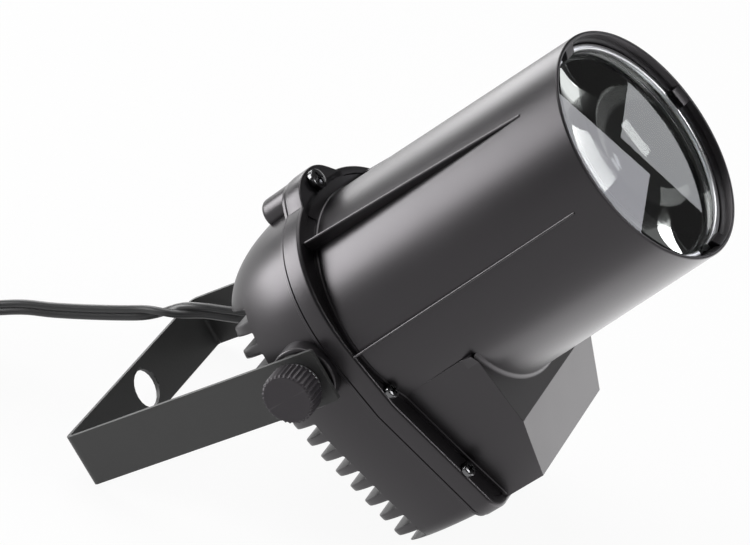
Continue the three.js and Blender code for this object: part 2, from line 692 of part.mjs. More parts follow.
// Bracket
function yokeStrap() {
  const half = strap.span / 2;
  const outline = new THREE.Shape();
  const inside = strap.bend - strap.thickness;
  const back = -strap.reach;
  outline.moveTo(strap.tip, half);
  outline.lineTo(back + strap.bend, half);
  outline.absarc(back + strap.bend, half - strap.bend, strap.bend, Math.PI / 2, Math.PI, false);
  outline.lineTo(back, -half + strap.bend);
  outline.absarc(back + strap.bend, -half + strap.bend, strap.bend, Math.PI, 1.5 * Math.PI, false);
  outline.lineTo(strap.tip, -half);
  outline.lineTo(strap.tip, -armInside);
  outline.lineTo(back + strap.bend, -armInside);
  outline.absarc(back + strap.bend, -half + strap.bend, inside, 1.5 * Math.PI, Math.PI, true);
  outline.lineTo(back + strap.thickness, half - strap.bend);
  outline.absarc(back + strap.bend, half - strap.bend, inside, Math.PI, Math.PI / 2, true);
  outline.lineTo(strap.tip, armInside);
  const bent = new THREE.ExtrudeGeometry(outline, { depth: strap.width, bevelEnabled: false, curveSegments: cornerSteps });
  bent.translate(0, 0, -strap.width / 2);
  return cutBy(
    solid(bent),
    rodX(strap.boltRadius, back - overrun, back + strap.thickness + overrun, 0, 0),
    rodY(studHole, -half - overrun, half + overrun, 0, 0));
}

// Cord gland and nut
function cordGland() {
  return joined(
    rodX(gland.radius, rearBack - gap - overrun, cavityBack + gap, 0, cordBoss.rise),
    rodX(gland.flangeRadius, rearBack - gap - gland.flangeThickness, rearBack - gap, 0, cordBoss.rise));
}

function glandNut() {
  return rodX(gland.nutRadius, cavityBack + 2 * gap, cavityBack + 2 * gap + gland.nutThickness, 0, cordBoss.rise, 6);
}

// The lamp stands on the bracket's lower edge and the rear housing's lowest fin.
// The tilt is the steepest angle that puts one point of the housing's underside level with that edge.
const fold = radians(strap.foldDegrees);
const edgeX = -strap.reach * Math.cos(fold) - strap.width / 2 * Math.sin(fold);
const edgeZ = strap.reach * Math.sin(fold) - strap.width / 2 * Math.cos(fold);
const underside = backEdges.map((x) => [x, -rearSizesAt(x).bottom - pivot.rise]);
const tilt = Math.max(...underside.map(([x, z]) => Math.atan2(edgeZ - z, x - edgeX)));
const lift = -(edgeX * Math.sin(tilt) + edgeZ * Math.cos(tilt));

function fromHead(x, z) {
  const up = z - pivot.rise;
  return [x * Math.cos(tilt) - up * Math.sin(tilt), x * Math.sin(tilt) + up * Math.cos(tilt)];
}

// Cord: the route leaves the gland square, runs back over the bracket and comes down on the coil
const coilBase = tie.thickness + tie.clearance - lift;
const coilTop = coilBase + coil.layer + cord.width / 2;
const glandFace = rearBack - gap - gland.flangeThickness - gap;
const cordPath = new THREE.CatmullRomCurve3([
  fromHead(glandFace, cordBoss.rise),
  fromHead(glandFace - cord.width, cordBoss.rise),
  ...cordRoute,
  [coilStart + cord.width, coilTop],
  [coilStart, coilTop],
].map(([x, z]) => new THREE.Vector3(x, 0, z)), false, 'centripetal');

class CordStretch extends THREE.Curve {
  constructor(from, to) {
    super();
    this.from = from;
    this.to = to;
  }

  getPoint(share, target = new THREE.Vector3()) {
    return cordPath.getPointAt(blend(this.from, this.to, share), target);
  }
}

function cordStretch(from, to, steps) {
  const [half, flat] = [cord.thickness / 2, cord.width / 2];
  const section = roundSection(1, 8).map((p) => new THREE.Vector2(p.x * half, p.y * flat).divideScalar(Math.cos(Math.PI / 8)));
  return pulledAlong(new CordStretch(from, to), section, steps);
}

const cordLength = cordPath.getLength();
let tailShare = 0;
while (cordPath.getPointAt(tailShare).length() < tailReach) {
  tailShare += gap / cordLength;
}

// Coil: spirals in on the upper layer, comes down in the half turn where it reverses, spirals out below,
// then leads out level, and rises or falls to the plug's own height
function coilPoint(angle) {
  const whole = 2 * Math.PI * coil.turns;
  const fromEnd = Math.min(angle, whole - angle);
  const radius = coil.radius - coil.pitch * fromEnd / (2 * Math.PI);
  const share = THREE.MathUtils.smootherstep(angle, (whole - Math.PI) / 2, (whole + Math.PI) / 2);
  const heading = Math.PI / 2 + angle;
  return {
    place: new THREE.Vector3(
      coilStart - coilStraight + radius * Math.cos(heading),
      -coil.radius + radius * Math.sin(heading),
      blend(coilTop, coilBase + cord.width / 2, share)),
    outward: new THREE.Vector3(Math.cos(heading), Math.sin(heading), 0),
  };
}

const plugMiddle = plug.height / 2 - lift;

function coilRings() {
  const north = new THREE.Vector3(0, 1, 0);
  const rings = [{ place: new THREE.Vector3(coilStart - gap, 0, coilTop), outward: north }];
  const count = coil.turns * coil.stepsPerTurn;
  for (let i = 0; i <= count; i += 1) {
    rings.push(coilPoint(2 * Math.PI * i / coil.stepsPerTurn));
  }
  const { place } = rings.at(-1);
  const steps = 6;
  for (let i = 0; i <= steps; i += 1) {
    const share = i / steps;
    const z = blend(place.z, plugMiddle, THREE.MathUtils.smoothstep(share, 0, 1));
    rings.push({ place: new THREE.Vector3(place.x - coil.leadOut - coil.drop * share, 0, z), outward: north });
  }
  const end = rings.at(-1).place.clone();
  end.x -= coil.end;
  rings.push({ place: end, outward: north });
  const half = cord.thickness / 2;
  const tall = cord.width / 2;
  const flatShare = 0.55;
  const section = [[half, 0], [half * flatShare, tall], [-half * flatShare, tall], [-half, 0],
    [-half * flatShare, -tall], [half * flatShare, -tall]];
  return rings.map(({ place: p, outward }) => section.map(([across, up]) => (
    p.clone().addScaledVector(outward, across).add(new THREE.Vector3(0, 0, up)))));
}

// Least gap between turns, measured between the points of rings more than a third of a turn apart
function leastCoilGap(rings) {
  const apart = coil.stepsPerTurn / 3;
  let least = Infinity;
  rings.forEach((near, i) => rings.slice(i + apart).forEach((far) => near.forEach((p) => far.forEach((q) => {
    least = Math.min(least, p.distanceTo(q));
  }))));
  return least;
}

const coilPoints = coilRings();
const plugFace = coilPoints.at(-1)[0].x - gap;
console.log(`least gap between the coil's turns: ${leastCoilGap(coilPoints).toFixed(2)} mm`);

function cordTie() {
  const angle = radians(tie.atDegrees);
  const turnsIn = coil.turns / 2;
  const inner = coil.radius - coil.pitch * turnsIn - cord.thickness / 2 - tie.clearance;
  const outer = coil.radius + cord.thickness / 2 + tie.clearance;
  const low = coilBase - tie.clearance;
  const high = coilBase + coil.layer + cord.width + tie.clearance;
  const band = cutBy(
    block([inner - tie.thickness, -tie.width / 2, low - tie.thickness], [outer + tie.thickness, tie.width / 2, high + tie.thickness]),
    block([inner, -tie.width, low], [outer, tie.width, high]));
  return band.rotate([0, 0, THREE.MathUtils.radToDeg(angle)])
    .translate([coilStart - coilStraight, -coil.radius, 0]);
}

function plugBody() {
  const neckEnd = plugFace - plug.neckLength;
  const rings = [
    [plugFace, plug.neck, plug.neck],
    [neckEnd, plug.width * plugShoulderShare, plug.height],
    [neckEnd - plug.shoulder, plug.width, plug.height],
    [plugFace - plug.length, plug.width, plug.height],
  ].map(([x, wide, tall]) => roundedRing(x, wide, tall));
  const holes = [-1, 1].map((sign) => block(
    [plugFace - plug.length - overrun, ...bladeLow(sign, gap)],
    [plugFace - plug.length + blade.root + gap, ...bladeHigh(sign, gap)]));
  return cutBy(loft(rings), ...holes);
}

function roundedRing(x, wide, tall) {
  const corner = Math.min(wide, tall) / 4;
  const points = [];
  for (const [sy, sz, start] of [[1, 1, 0], [-1, 1, 1], [-1, -1, 2], [1, -1, 3]]) {
    for (let i = 0; i <= cornerSteps; i += 1) {
      const turn = Math.PI / 2 * (start + i / cornerSteps);
      points.push(new THREE.Vector3(
        x,
        sy * (wide / 2 - corner) + corner * Math.cos(turn),
        plugMiddle + sz * (tall / 2 - corner) + corner * Math.sin(turn)));
    }
  }
  return points;
}

function bladeLow(sign, room) {
  return [sign * blade.spacing / 2 - blade.thickness / 2 - room, plugMiddle - blade.width / 2 - room];
}

function bladeHigh(sign, room) {
  return [sign * blade.spacing / 2 + blade.thickness / 2 + room, plugMiddle + blade.width / 2 + room];
}

function plugBlade(sign) {
  const front = plugFace - plug.length;
  return block([front - blade.length, ...bladeLow(sign, 0)], [front + blade.root, ...bladeHigh(sign, 0)]);
}

// Finishes
function finish(color, roughness, metalness = 0) {
  return new THREE.MeshStandardMaterial({ color, roughness, metalness });
}

const blackPlastic = finish(0x2a2a2c, 0.45);
const blackSteel = finish(0x3a3a3c, 0.5, 0.3);
const blackScrew = finish(0x222224, 0.35, 0.8);
const zinc = finish(0xb8bcc0, 0.35, 0.9);
const brass = finish(0xc8a24a, 0.35, 0.9);
const aluminium = finish(0xb4b8bc, 0.4, 0.9);
const glass = finish(0xdfe8ea, 0.05);
const rubber = finish(0x202020, 0.8);
const greenBoard = finish(0x2e6b3a, 0.5);
const whiteBoard = finish(0xe8e8e4, 0.5);
const yellow = finish(0xe8c84a, 0.4);
const redWire = finish(0xa02820, 0.5);
const cordBlack = finish(0x333335, 0.45);

// Assembly
const lamp = new THREE.Group();
lamp.name = 'pinspot_light';
const stance = new THREE.Group();
const headGroup = new THREE.Group();
const headAxis = new THREE.Group();
const yokeGroup = new THREE.Group();
const cordGroup = new THREE.Group();
lamp.add(stance);
stance.add(headGroup, yokeGroup, cordGroup);
headGroup.add(headAxis);
stance.position.z = lift;
headGroup.rotation.y = -tilt;
headAxis.position.z = -pivot.rise;
yokeGroup.rotation.y = fold - tilt;

function place(group, name, body, material) {
  const { vertProperties, triVerts } = body.getMesh();
  const shape = new THREE.BufferGeometry();
  shape.setAttribute('position', new THREE.BufferAttribute(vertProperties, 3));
  shape.setIndex(new THREE.BufferAttribute(triVerts, 1));
  shape.computeVertexNormals();
  const mesh = new THREE.Mesh(shape, material);
  mesh.name = name;
  group.add(mesh);
}

place(headAxis, 'front_housing', frontHousing(), blackPlastic);
place(headAxis, 'rear_housing', rearHousing(), blackPlastic);
place(headAxis, 'main_lens', mainLens(), glass);
place(headAxis, 'lens_gasket', lensGasket(), rubber);
place(headAxis, 'lens_ring', lensRing(), zinc);
place(headAxis, 'heat_sink', heatSink(), aluminium);
place(headAxis, 'led_board', ledBoard(), whiteBoard);
place(headAxis, 'led_emitter', ledEmitter(), yellow);
place(headAxis, 'condenser_holder', condenserHolder(), rubber);
place(headAxis, 'condenser_lens', condenserLens(), glass);
place(headAxis, 'driver_board', driverBoard(), greenBoard);
place(headAxis, 'driver_transformer', driverTransformer(), yellow);
place(headAxis, 'driver_capacitor', driverCapacitor(), rubber);
place(headAxis, 'terminal_block', terminalBlock(), whiteBoard);
place(headAxis, 'lug_screw', panScrew(earScrew, flangeFace, 0, earRise), blackScrew);
place(headAxis, 'cord_gland', cordGland(), rubber);
place(headAxis, 'gland_nut', glandNut(), blackPlastic);
screwPlaces.forEach(([y, z], i) => {
  place(headAxis, `flange_screw_${i + 1}`, panScrew(smallScrew, flangeFace, y, z), blackScrew);
});
for (const [side, sign] of [['near', -1], ['far', 1]]) {
  place(headAxis, `led_board_screw_${side}`, ledBoardScrew(sign), zinc);
  place(headAxis, `driver_board_screw_${side}`, driverBoardScrew(sign), zinc);
  place(headAxis, `mains_lead_${side}`, mainsLead(sign), sign < 0 ? cordBlack : whiteBoard);
  place(headAxis, `led_lead_${side}`, ledLead(sign), sign < 0 ? cordBlack : redWire);
  place(headGroup, `${side}_pivot_insert`, pivotInsert(sign), brass);
  place(headGroup, `${side}_friction_washer`, washer(sign, frictionWasher, bossFace + gap), rubber);
  place(headGroup, `${side}_knob_washer`, washer(sign, knobWasher, strap.span / 2 + gap), zinc);
  place(headGroup, `${side}_stud`, pivotStud(sign), zinc);
  place(headGroup, `${side}_knob`, thumbKnob(sign), blackPlastic);
}
place(headAxis, 'heat_sink_screw_low', heatSinkScrew(-1), zinc);
place(headAxis, 'heat_sink_screw_high', heatSinkScrew(1), zinc);
place(yokeGroup, 'yoke', yokeStrap(), blackSteel);

// The head and the bracket set the origin: the cord is left out of that box
lamp.updateMatrixWorld(true);
const standing = new THREE.Box3().setFromObject(lamp, true);
place(cordGroup, 'cord_tail', cordStretch(0, tailShare, 8), cordBlack);
place(cordGroup, 'cord_run', cordStretch(tailShare + gap / cordLength, 1, 20), cordBlack);
place(cordGroup, 'cord_coil', loft(coilPoints), cordBlack);
place(cordGroup, 'cord_tie', cordTie(), rubber);
place(cordGroup, 'plug_body', plugBody(), blackPlastic);
place(cordGroup, 'plug_blade_near', plugBlade(-1), brass);
place(cordGroup, 'plug_blade_far', plugBlade(1), brass);
stance.position.x -= (standing.min.x + standing.max.x) / 2;
stance.position.y -= (standing.min.y + standing.max.y) / 2;
console.log(`tilt ${THREE.MathUtils.radToDeg(tilt).toFixed(2)} degrees, pivot at`, stance.position.toArray());

export default lamp;
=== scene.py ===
import json
from math import cos, pi, radians, sin

import bmesh
import bpy
import numpy as np
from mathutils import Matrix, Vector
from mathutils.geometry import delaunay_2d_cdt


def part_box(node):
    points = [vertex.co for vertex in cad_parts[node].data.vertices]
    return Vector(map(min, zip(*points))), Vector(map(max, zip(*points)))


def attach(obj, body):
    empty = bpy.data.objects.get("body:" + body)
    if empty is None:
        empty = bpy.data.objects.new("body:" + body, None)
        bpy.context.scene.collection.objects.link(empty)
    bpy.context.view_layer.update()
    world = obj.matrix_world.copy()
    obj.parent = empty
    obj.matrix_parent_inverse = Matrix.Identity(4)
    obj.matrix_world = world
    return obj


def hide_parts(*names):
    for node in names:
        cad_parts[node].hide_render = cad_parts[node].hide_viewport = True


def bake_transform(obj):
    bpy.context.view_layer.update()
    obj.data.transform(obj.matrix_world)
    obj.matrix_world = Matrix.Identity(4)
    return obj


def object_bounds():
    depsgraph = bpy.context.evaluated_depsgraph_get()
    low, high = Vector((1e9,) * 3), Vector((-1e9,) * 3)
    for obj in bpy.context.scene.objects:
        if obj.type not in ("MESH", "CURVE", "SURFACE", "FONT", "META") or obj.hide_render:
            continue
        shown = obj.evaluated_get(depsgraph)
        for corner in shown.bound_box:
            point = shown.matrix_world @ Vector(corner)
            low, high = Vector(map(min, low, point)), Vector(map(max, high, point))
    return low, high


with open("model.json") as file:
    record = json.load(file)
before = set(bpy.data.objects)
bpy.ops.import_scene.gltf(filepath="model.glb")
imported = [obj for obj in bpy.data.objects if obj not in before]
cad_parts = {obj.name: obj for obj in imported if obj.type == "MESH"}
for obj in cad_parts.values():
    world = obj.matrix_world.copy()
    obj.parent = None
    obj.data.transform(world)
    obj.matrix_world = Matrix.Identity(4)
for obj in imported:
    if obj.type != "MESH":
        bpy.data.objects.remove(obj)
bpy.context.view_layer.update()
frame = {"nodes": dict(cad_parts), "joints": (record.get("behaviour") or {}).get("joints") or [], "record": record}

# Sizes are in millimetres until a mesh is written. The head is built along its barrel: x forward from the
# tilt pivot, y to the far side, z up from the barrel's axis. The bracket is built along its arms.
mm = 0.001
pivotRise = 5.6
pivot = np.array(frame["joints"][0]["pos_m"])


def unit(v):
    return v / np.linalg.norm(v, axis=-1, keepdims=True)


def axesAlong(forward):
    forward = unit(forward)
    return np.array([forward, (0, 1, 0), (-forward[2], 0, forward[0])])


def middleOf(node):
    low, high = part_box(node)
    return np.array((low + high) / 2)


barrelAxes = axesAlong(middleOf("lens_gasket") - middleOf("led_board"))
headPlace = (barrelAxes, pivot - mm * pivotRise * barrelAxes[2])
bracketPlace = (axesAlong(-np.array(frame["record"]["mounts"][0]["axis"])), pivot)
cordPlace = (np.eye(3), pivot)


# Meshes

def loft(rings, looped=False):
    # rings of points joined by quads; an end ring that isn't a point gets a face
    rings = np.asarray(rings, float)
    at = np.arange(rings.shape[0] * rings.shape[1]).reshape(rings.shape[:2])
    here, there = (at, np.roll(at, -1, 0)) if looped else (at[:-1], at[1:])
    quads = np.stack([here, np.roll(here, -1, 1), np.roll(there, -1, 1), there], -1)
    faces = quads.reshape(-1, 4).tolist()
    if not looped:
        faces += [at[k].tolist() for k in (0, -1) if np.ptp(rings[k], axis=0).max() > 1e-3]
    return rings.reshape(-1, 3), faces


def together(*parts):
    starts = np.cumsum([0] + [len(points) for points, _ in parts])
    faces = [[int(k + start) for k in face] for (_, part), start in zip(parts, starts) for face in part]
    return np.concatenate([points for points, _ in parts]), faces


def around(count):
    return np.linspace(0, 2 * pi, count, endpoint=False)


def polar(radius, turn):
    return np.stack([radius * np.cos(turn), radius * np.sin(turn)], -1)


def wheel(x, radius, turn):
    return np.stack([x + 0 * turn, radius * np.cos(turn), radius * np.sin(turn)], -1)


def stacked(stations, looped=False):
    # outlines joined in their order, each at its own x
    return loft([np.insert(outline, 0, x, axis=1) for x, outline in stations], looped)


def rectangle(x, y):
    return [(x[0], y[0]), (x[1], y[0]), (x[1], y[1]), (x[0], y[1])]


def rounded(corners, radius, steps=5, closed=True):
    # each corner becomes a quadratic curve between the points a radius before and after it
    corners = np.asarray(corners, float)
    radii = np.broadcast_to(radius, len(corners))
    share = np.linspace(0, 1, steps)[:, None]
    line = []
    for k, corner in enumerate(corners):
        if not closed and k in (0, len(corners) - 1) or radii[k] <= 0:
            line.append(corner[None])
            continue
        before, after = corners[k - 1] - corner, corners[(k + 1) % len(corners)] - corner
        reach = min(radii[k], np.linalg.norm(before) / 2, np.linalg.norm(after) / 2)
        into, out = corner + unit(before) * reach, corner + unit(after) * reach
        line.append((1 - share) ** 2 * into + 2 * share * (1 - share) * corner + share ** 2 * out)
    return np.concatenate(line)


def turned(profile, centre=(0, 0, 0), axis="x", steps=144):
    # (x, radius) turned about the axis; a profile that doesn't start on the axis is a closed loop
    profile = np.asarray(profile, float)
    order = {"x": [0, 1, 2], "y": [1, 0, 2]}[axis]
    rings = wheel(profile[:, :1], profile[:, 1:], around(steps))[..., order]
    return loft(rings + centre, looped=profile[0, 1] > 0)


def pulled(outline, start, end, radius):
    # outline(inset) from start to end, the insets following a quarter circle at both ends
    turn = np.linspace(0, pi / 2, 5)
    along, inset = np.sign(end - start) * radius * (1 - np.cos(turn)), radius * (1 - np.sin(turn))
    stations = [*zip(start + along, inset), *zip((end - along)[::-1], inset[::-1])]
    return stacked([(x, outline(size)) for x, size in stations])


def placed(name, data):
    made = bpy.data.objects.new(name, data)
    bpy.context.scene.collection.objects.link(made)
    return made


def addPiece(name, part, surface, stands, body="head", place=headPlace, bevel=0, limit=30, thick=0, sharp=38):
    points, faces = part
    axes, origin = place
    mesh = bpy.data.meshes.new(name)
    mesh.from_pydata((origin + mm * points @ axes).tolist(), [], faces)
    work = bmesh.new()
    work.from_mesh(mesh)
    bmesh.ops.remove_doubles(work, verts=work.verts, dist=1e-6)
    bmesh.ops.recalc_face_normals(work, faces=work.faces)
    work.to_mesh(mesh)
    work.free()
    mesh.shade_smooth()
    mesh.set_sharp_from_angle(angle=radians(sharp))
    mesh.materials.append(surface)
    piece = placed(name, mesh)
    if thick:
        solidify = piece.modifiers.new("Thickness", "SOLIDIFY")
        solidify.thickness, solidify.offset, solidify.use_even_offset = mm * thick, 0, True
    if bevel:
        edge = piece.modifiers.new("Edges", "BEVEL")
        edge.width, edge.segments, edge.angle_limit = mm * bevel, 3, radians(limit)
        edge.harden_normals = True
    if body:
        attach(piece, body)
    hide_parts(*stands.split())
    return piece


# Surfaces

class Signal:
    # A socket that can be added, multiplied and so on, each step a Math node
    def __init__(self, tree, socket):
        self.tree, self.socket = tree, socket

    def maths(self, operation, *others, first=None):
        node = self.tree.nodes.new("ShaderNodeMath")
        node.operation = operation
        values = (first, self, *others) if first is not None else (self, *others)
        for place, value in zip(node.inputs, values):
            wire(self.tree, value, place)
        return Signal(self.tree, node.outputs[0])

    def __add__(self, other):
        return self.maths("ADD", other)

    def __mul__(self, other):
        return self.maths("MULTIPLY", other)

    def __sub__(self, other):
        return self.maths("SUBTRACT", other)

    def __rsub__(self, other):
        return self.maths("SUBTRACT", first=other)

    __radd__ = __add__
    __rmul__ = __mul__

    def between(self, low, high):
        # 0 at low and below, 1 at high and above, smooth between
        node = self.tree.nodes.new("ShaderNodeMapRange")
        node.interpolation_type = "SMOOTHSTEP"
        wire(self.tree, self, node.inputs["Value"])
        node.inputs["From Min"].default_value, node.inputs["From Max"].default_value = low, high
        return Signal(self.tree, node.outputs["Result"])


def wire(tree, value, place):
    if isinstance(value, Signal):
        tree.links.new(value.socket, place)
    else:
        place.default_value = value


class Surface:
    def __init__(self, name):
        self.material = bpy.data.materials.new(name)
        self.material.use_nodes = True
        self.tree = self.material.node_tree
        self.shader = self.tree.nodes["Principled BSDF"]
        self.place = self.node("TexCoord", output="Object")

    def node(self, kind, settings=(), output=0, **values):
        node = self.tree.nodes.new("ShaderNode" + kind)
        for key, value in dict(settings).items():
            setattr(node, key, value)
        for key, value in values.items():
            wire(self.tree, value, node.inputs[key.replace("_", " ")])
        return Signal(self.tree, node.outputs[output])

    def noise(self, scale, detail=3.0, stretch=None):
        place = self.place if stretch is None else self.node("Mapping", Vector=self.place, Scale=stretch)
        return self.node("TexNoise", Vector=place, Scale=scale, Detail=detail)

    def mix(self, share, low, high):
        node = self.tree.nodes.new("ShaderNodeMix")
        node.data_type = "RGBA"
        for place, value in ((0, share), (6, low), (7, high)):  # the node's factor and two colours
            wire(self.tree, value, node.inputs[place])
        return Signal(self.tree, node.outputs[2])

    def edges(self, low=0.52, high=0.62):
        return self.node("NewGeometry", output="Pointiness").between(low, high)

    def bump(self, *layers):
        # each layer is (height, depth in millimetres)
        under = {}
        for height, depth in layers:
            under = {"Normal": self.node("Bump", Height=height, Distance=depth * mm, **under)}
        return under["Normal"]

    def finish(self, **values):
        for key, value in values.items():
            wire(self.tree, value, self.shader.inputs[key.replace("_", " ")])
        return self.material


def grey(level):
    return (level, level, level, 1.0)


def shaded(colour, share, lift=0.0):
    return tuple(min(1.0, share * c + lift) for c in colour[:3]) + (1.0,)


def plum(level):
    return (level * 1.08, level * 0.96, level * 1.1, 1.0)


# Moulded plastic. Colour: the tone, lighter in broad soft clouds and on worn edges.
# Roughness: base - 0.05 + 0.1 x clouds + 0.05 x fine grain. Bump: a spark-eroded grain and a faint waviness.
def mouldedPlastic(name, tone, rough=0.32, grain=0.012, gloss=0.5):
    s = Surface(name)
    clouds, fine, waves = s.noise(28), s.noise(2600, 2.0), s.noise(60, 1.0)
    worn = s.edges() * clouds.between(0.35, 0.7) * 0.5
    tint = s.mix(clouds, plum(tone * 0.85), plum(tone * 1.2))
    return s.finish(
        Base_Color=s.mix(worn, tint, plum(tone * 2.6 + 0.02)),
        Roughness=rough - 0.05 + 0.1 * clouds + 0.05 * fine,
        Normal=s.bump((fine, grain), (waves, 0.02)),
        Specular_IOR_Level=gloss, Specular_Tint=(1.0, 0.95, 1.0, 1.0))


# Stoved paint on steel. Colour: near black, chalkier in patches; bare steel shows on worn edges.
# Roughness: 0.46 + 0.12 x patches - 0.1 x worn. Metallic: 0.8 x worn. Bump: orange peel.
def stovedPaint(name, tone):
    s = Surface(name)
    patches, peel, chips = s.noise(35), s.noise(900, 2.0), s.noise(320, 4.0)
    worn = s.edges(0.54, 0.66) * chips.between(0.42, 0.6)
    return s.finish(
        Base_Color=s.mix(worn, s.mix(patches, grey(tone * 0.85), grey(tone * 1.2)), grey(0.42)),
        Roughness=0.46 + 0.12 * patches - 0.1 * worn,
        Metallic=worn * 0.8,
        Normal=s.bump((peel, 0.03)))


# Plated metal. Colour: the plating, a shade darker in clouds. Roughness: base + 0.15 x streaks + 0.1 x clouds.
# Bump: fine drawing lines along x.
def platedMetal(name, colour, rough=0.22, shade=0.75):
    s = Surface(name)
    clouds, streaks = s.noise(70), s.noise(900, 3.0, stretch=(0.15, 1, 1))
    return s.finish(
        Base_Color=s.mix(clouds, shaded(colour, shade), colour),
        Roughness=rough + 0.15 * streaks + 0.1 * clouds,
        Metallic=1.0,
        Normal=s.bump((streaks, 0.004)))


# Clear glass. Colour: a trace of green, less in the haze. Roughness: 0.002 + 0.008 x haze, a clipped soft noise.
def lensGlass(name):
    s = Surface(name)
    haze = s.noise(45, 4.0).between(0.5, 0.75)
    return s.finish(
        Base_Color=s.mix(haze, (0.93, 0.97, 0.95, 1), (0.98, 0.99, 0.98, 1)),
        Roughness=0.002 + 0.008 * haze,
        Transmission_Weight=1.0,
        IOR=1.52)


# Rubber. Colour: charcoal with pale dust where a coarse noise is high. Roughness: 0.62 + 0.2 x that noise.
# Bump: a fine grain.
def rubber(name, tone=0.018):
    s = Surface(name)
    dust, grain = s.noise(130, 5.0), s.noise(1800, 2.0)
    return s.finish(
        Base_Color=s.mix(dust.between(0.5, 0.9) * 0.4, grey(tone), grey(tone * 4)),
        Roughness=0.62 + 0.2 * dust,
        Normal=s.bump((grain, 0.015)))


# Soft vinyl. Colour: the pigment, a little paler in patches. Roughness: 0.3 + 0.16 x scuffs. Bump: extrusion ripple.
def softPvc(name, colour):
    s = Surface(name)
    patches, scuffs, ripple = s.noise(40), s.noise(420, 4.0), s.noise(700, 1.0)
    return s.finish(
        Base_Color=s.mix(patches, colour, shaded(colour, 1.5, 0.004)),
        Roughness=0.3 + 0.16 * scuffs,
        Normal=s.bump((ripple, 0.01)))


# Circuit board. Colour: the mask, crossed by a grid of tracks that a brick pattern's joints give.
# Roughness: 0.35 + 0.1 x noise. Bump: the tracks stand 0.03 mm proud.
def circuitBoard(name, mask, track):
    s = Surface(name)
    rows = s.node("TexBrick", {"offset": 0.5}, Vector=s.place, Scale=220.0, Color1=grey(0), Color2=grey(0),
                  Mortar=grey(1), Mortar_Size=0.03, Row_Height=0.3)
    return s.finish(
        Base_Color=s.mix(rows, mask, track),
        Roughness=0.35 + 0.1 * s.noise(300),
        Normal=s.bump((rows, 0.03)))


# Dyed plastic, tape or phosphor inside the lamp. Colour: the dye, darker in faint clouds.
# Roughness: base + 0.1 x clouds. Bump: a fine grain.
def dyed(name, colour, rough=0.4):
    s = Surface(name)
    clouds = s.noise(160, 4.0)
    return s.finish(Base_Color=s.mix(clouds, shaded(colour, 0.75), colour), Roughness=rough + 0.1 * clouds,
                    Normal=s.bump((s.noise(1200), 0.01)))


housingPlastic = mouldedPlastic("housing plastic", 0.005, gloss=0.6)
knobPlastic = mouldedPlastic("knob plastic", 0.022, rough=0.46, gloss=0.42)
innerPlastic = mouldedPlastic("inner plastic", 0.012, rough=0.5)
bracketPaint = stovedPaint("bracket paint", 0.035)
blackZinc = platedMetal("black zinc", (0.16, 0.16, 0.165, 1), rough=0.08)
zinc = platedMetal("bright zinc", (0.86, 0.87, 0.89, 1), rough=0.2, shade=0.88)
brass = platedMetal("brass", (0.82, 0.66, 0.32, 1))
aluminium = platedMetal("aluminium", (0.7, 0.71, 0.72, 1), rough=0.35)
glass = lensGlass("lens glass")
blackRubber = rubber("black rubber")
cordPvc = softPvc("cord pvc", (0.016, 0.016, 0.017, 1))
redPvc = softPvc("red pvc", (0.5, 0.03, 0.02, 1))
whitePvc = softPvc("white pvc", (0.7, 0.7, 0.68, 1))
greenBoard = circuitBoard("green board", (0.02, 0.16, 0.05, 1), (0.06, 0.3, 0.1, 1))
whiteBoard = circuitBoard("white board", (0.8, 0.8, 0.78, 1), (0.7, 0.68, 0.6, 1))
terminalWhite = dyed("terminal white", (0.75, 0.75, 0.7, 1))
phosphor = dyed("phosphor", (0.85, 0.62, 0.08, 1), rough=0.15)
windingTape = dyed("winding tape", (0.75, 0.5, 0.06, 1))
print("surfaces ready")

# Camera: fitted to the photo's bracket, knob, rim and lens ring
camera = {
    "place": (0.27162544, -0.8519881, 0.61892313), "turn": (58.7045207, -5.4876276, 21.8549285), "lens": 161.561,
}
eye = placed("camera", bpy.data.cameras.new("camera"))
eye.data.lens, eye.data.sensor_width = camera["lens"], 36
eye.data.clip_start, eye.data.clip_end = 0.05, 50
eye.location = camera["place"]
eye.rotation_euler = [radians(a) for a in camera["turn"]]
bpy.context.scene.camera = eye

# Cord: flat twin flex from the gland over the bracket to a coil, with a half twist on the way
cord = {
    "width": 5.4, "thickness": 2.7, "web": 0.62, "exit": (-26.9, 22.0), "start": -165, "straight": 5,
    "route": [(-43, -15.3), (-54.2, -17.4), (-78.2, -26.1), (-104.9, -33.7), (-116.5, -36.2), (-131, -41.5),
              (-144, -46.6), (-154.5, -50.3)],
    "twist": (24, 50), "step": 2.5, "follows": 10, "stays": (-79, 0, -26.4),
}
coil = {"radius": 34, "turns": 5, "pitch": 3.35, "layer": 6.05, "leadOut": 16, "drop": 14, "end": 6, "perTurn": 72,
        "inPlug": 2}
tie = {"width": 5, "thickness": 0.8, "clearance": 0.5, "at": 200, "corner": 1.6, "edge": 0.3}
plug = {
    "length": 27, "width": 22, "height": 13, "neck": 9, "neckLength": 9, "flare": 1.5, "swell": (6, 12),
    "corner": 0.42,
    "along": [0, 0.6, 1.6, 2.2, 2.8, 3.8, 4.4, 5, 6, 6.6, 7.2, 9, 11, 14, 17, 20, 23, 25.4, 26.4, 26.85, 27],
    "grooves": [1.2, 0.3, 0, 0.9, 0, 0, 0.9, 0, 0, 0.9, 0, 0, 0, 0.5, 0.7, 0.5, 0, 0, 0.3, 0.8, 1.4],
}
blade = {"length": 17, "width": 6.35, "thickness": 1.5, "spacing": 12.7, "root": 5, "hole": 1.6, "holeAt": 4,
         "corner": 1.6}
standing = -pivot[2] / mm  # height of the floor below the pivot
coilBase = standing + tie["thickness"] + tie["clearance"]
plugMiddle = standing + plug["height"] / 2


def fromHead(x, z):
    axes, origin = headPlace
    return ((origin - pivot) / mm + np.array([x, 0, z]) @ axes)[[0, 2]]


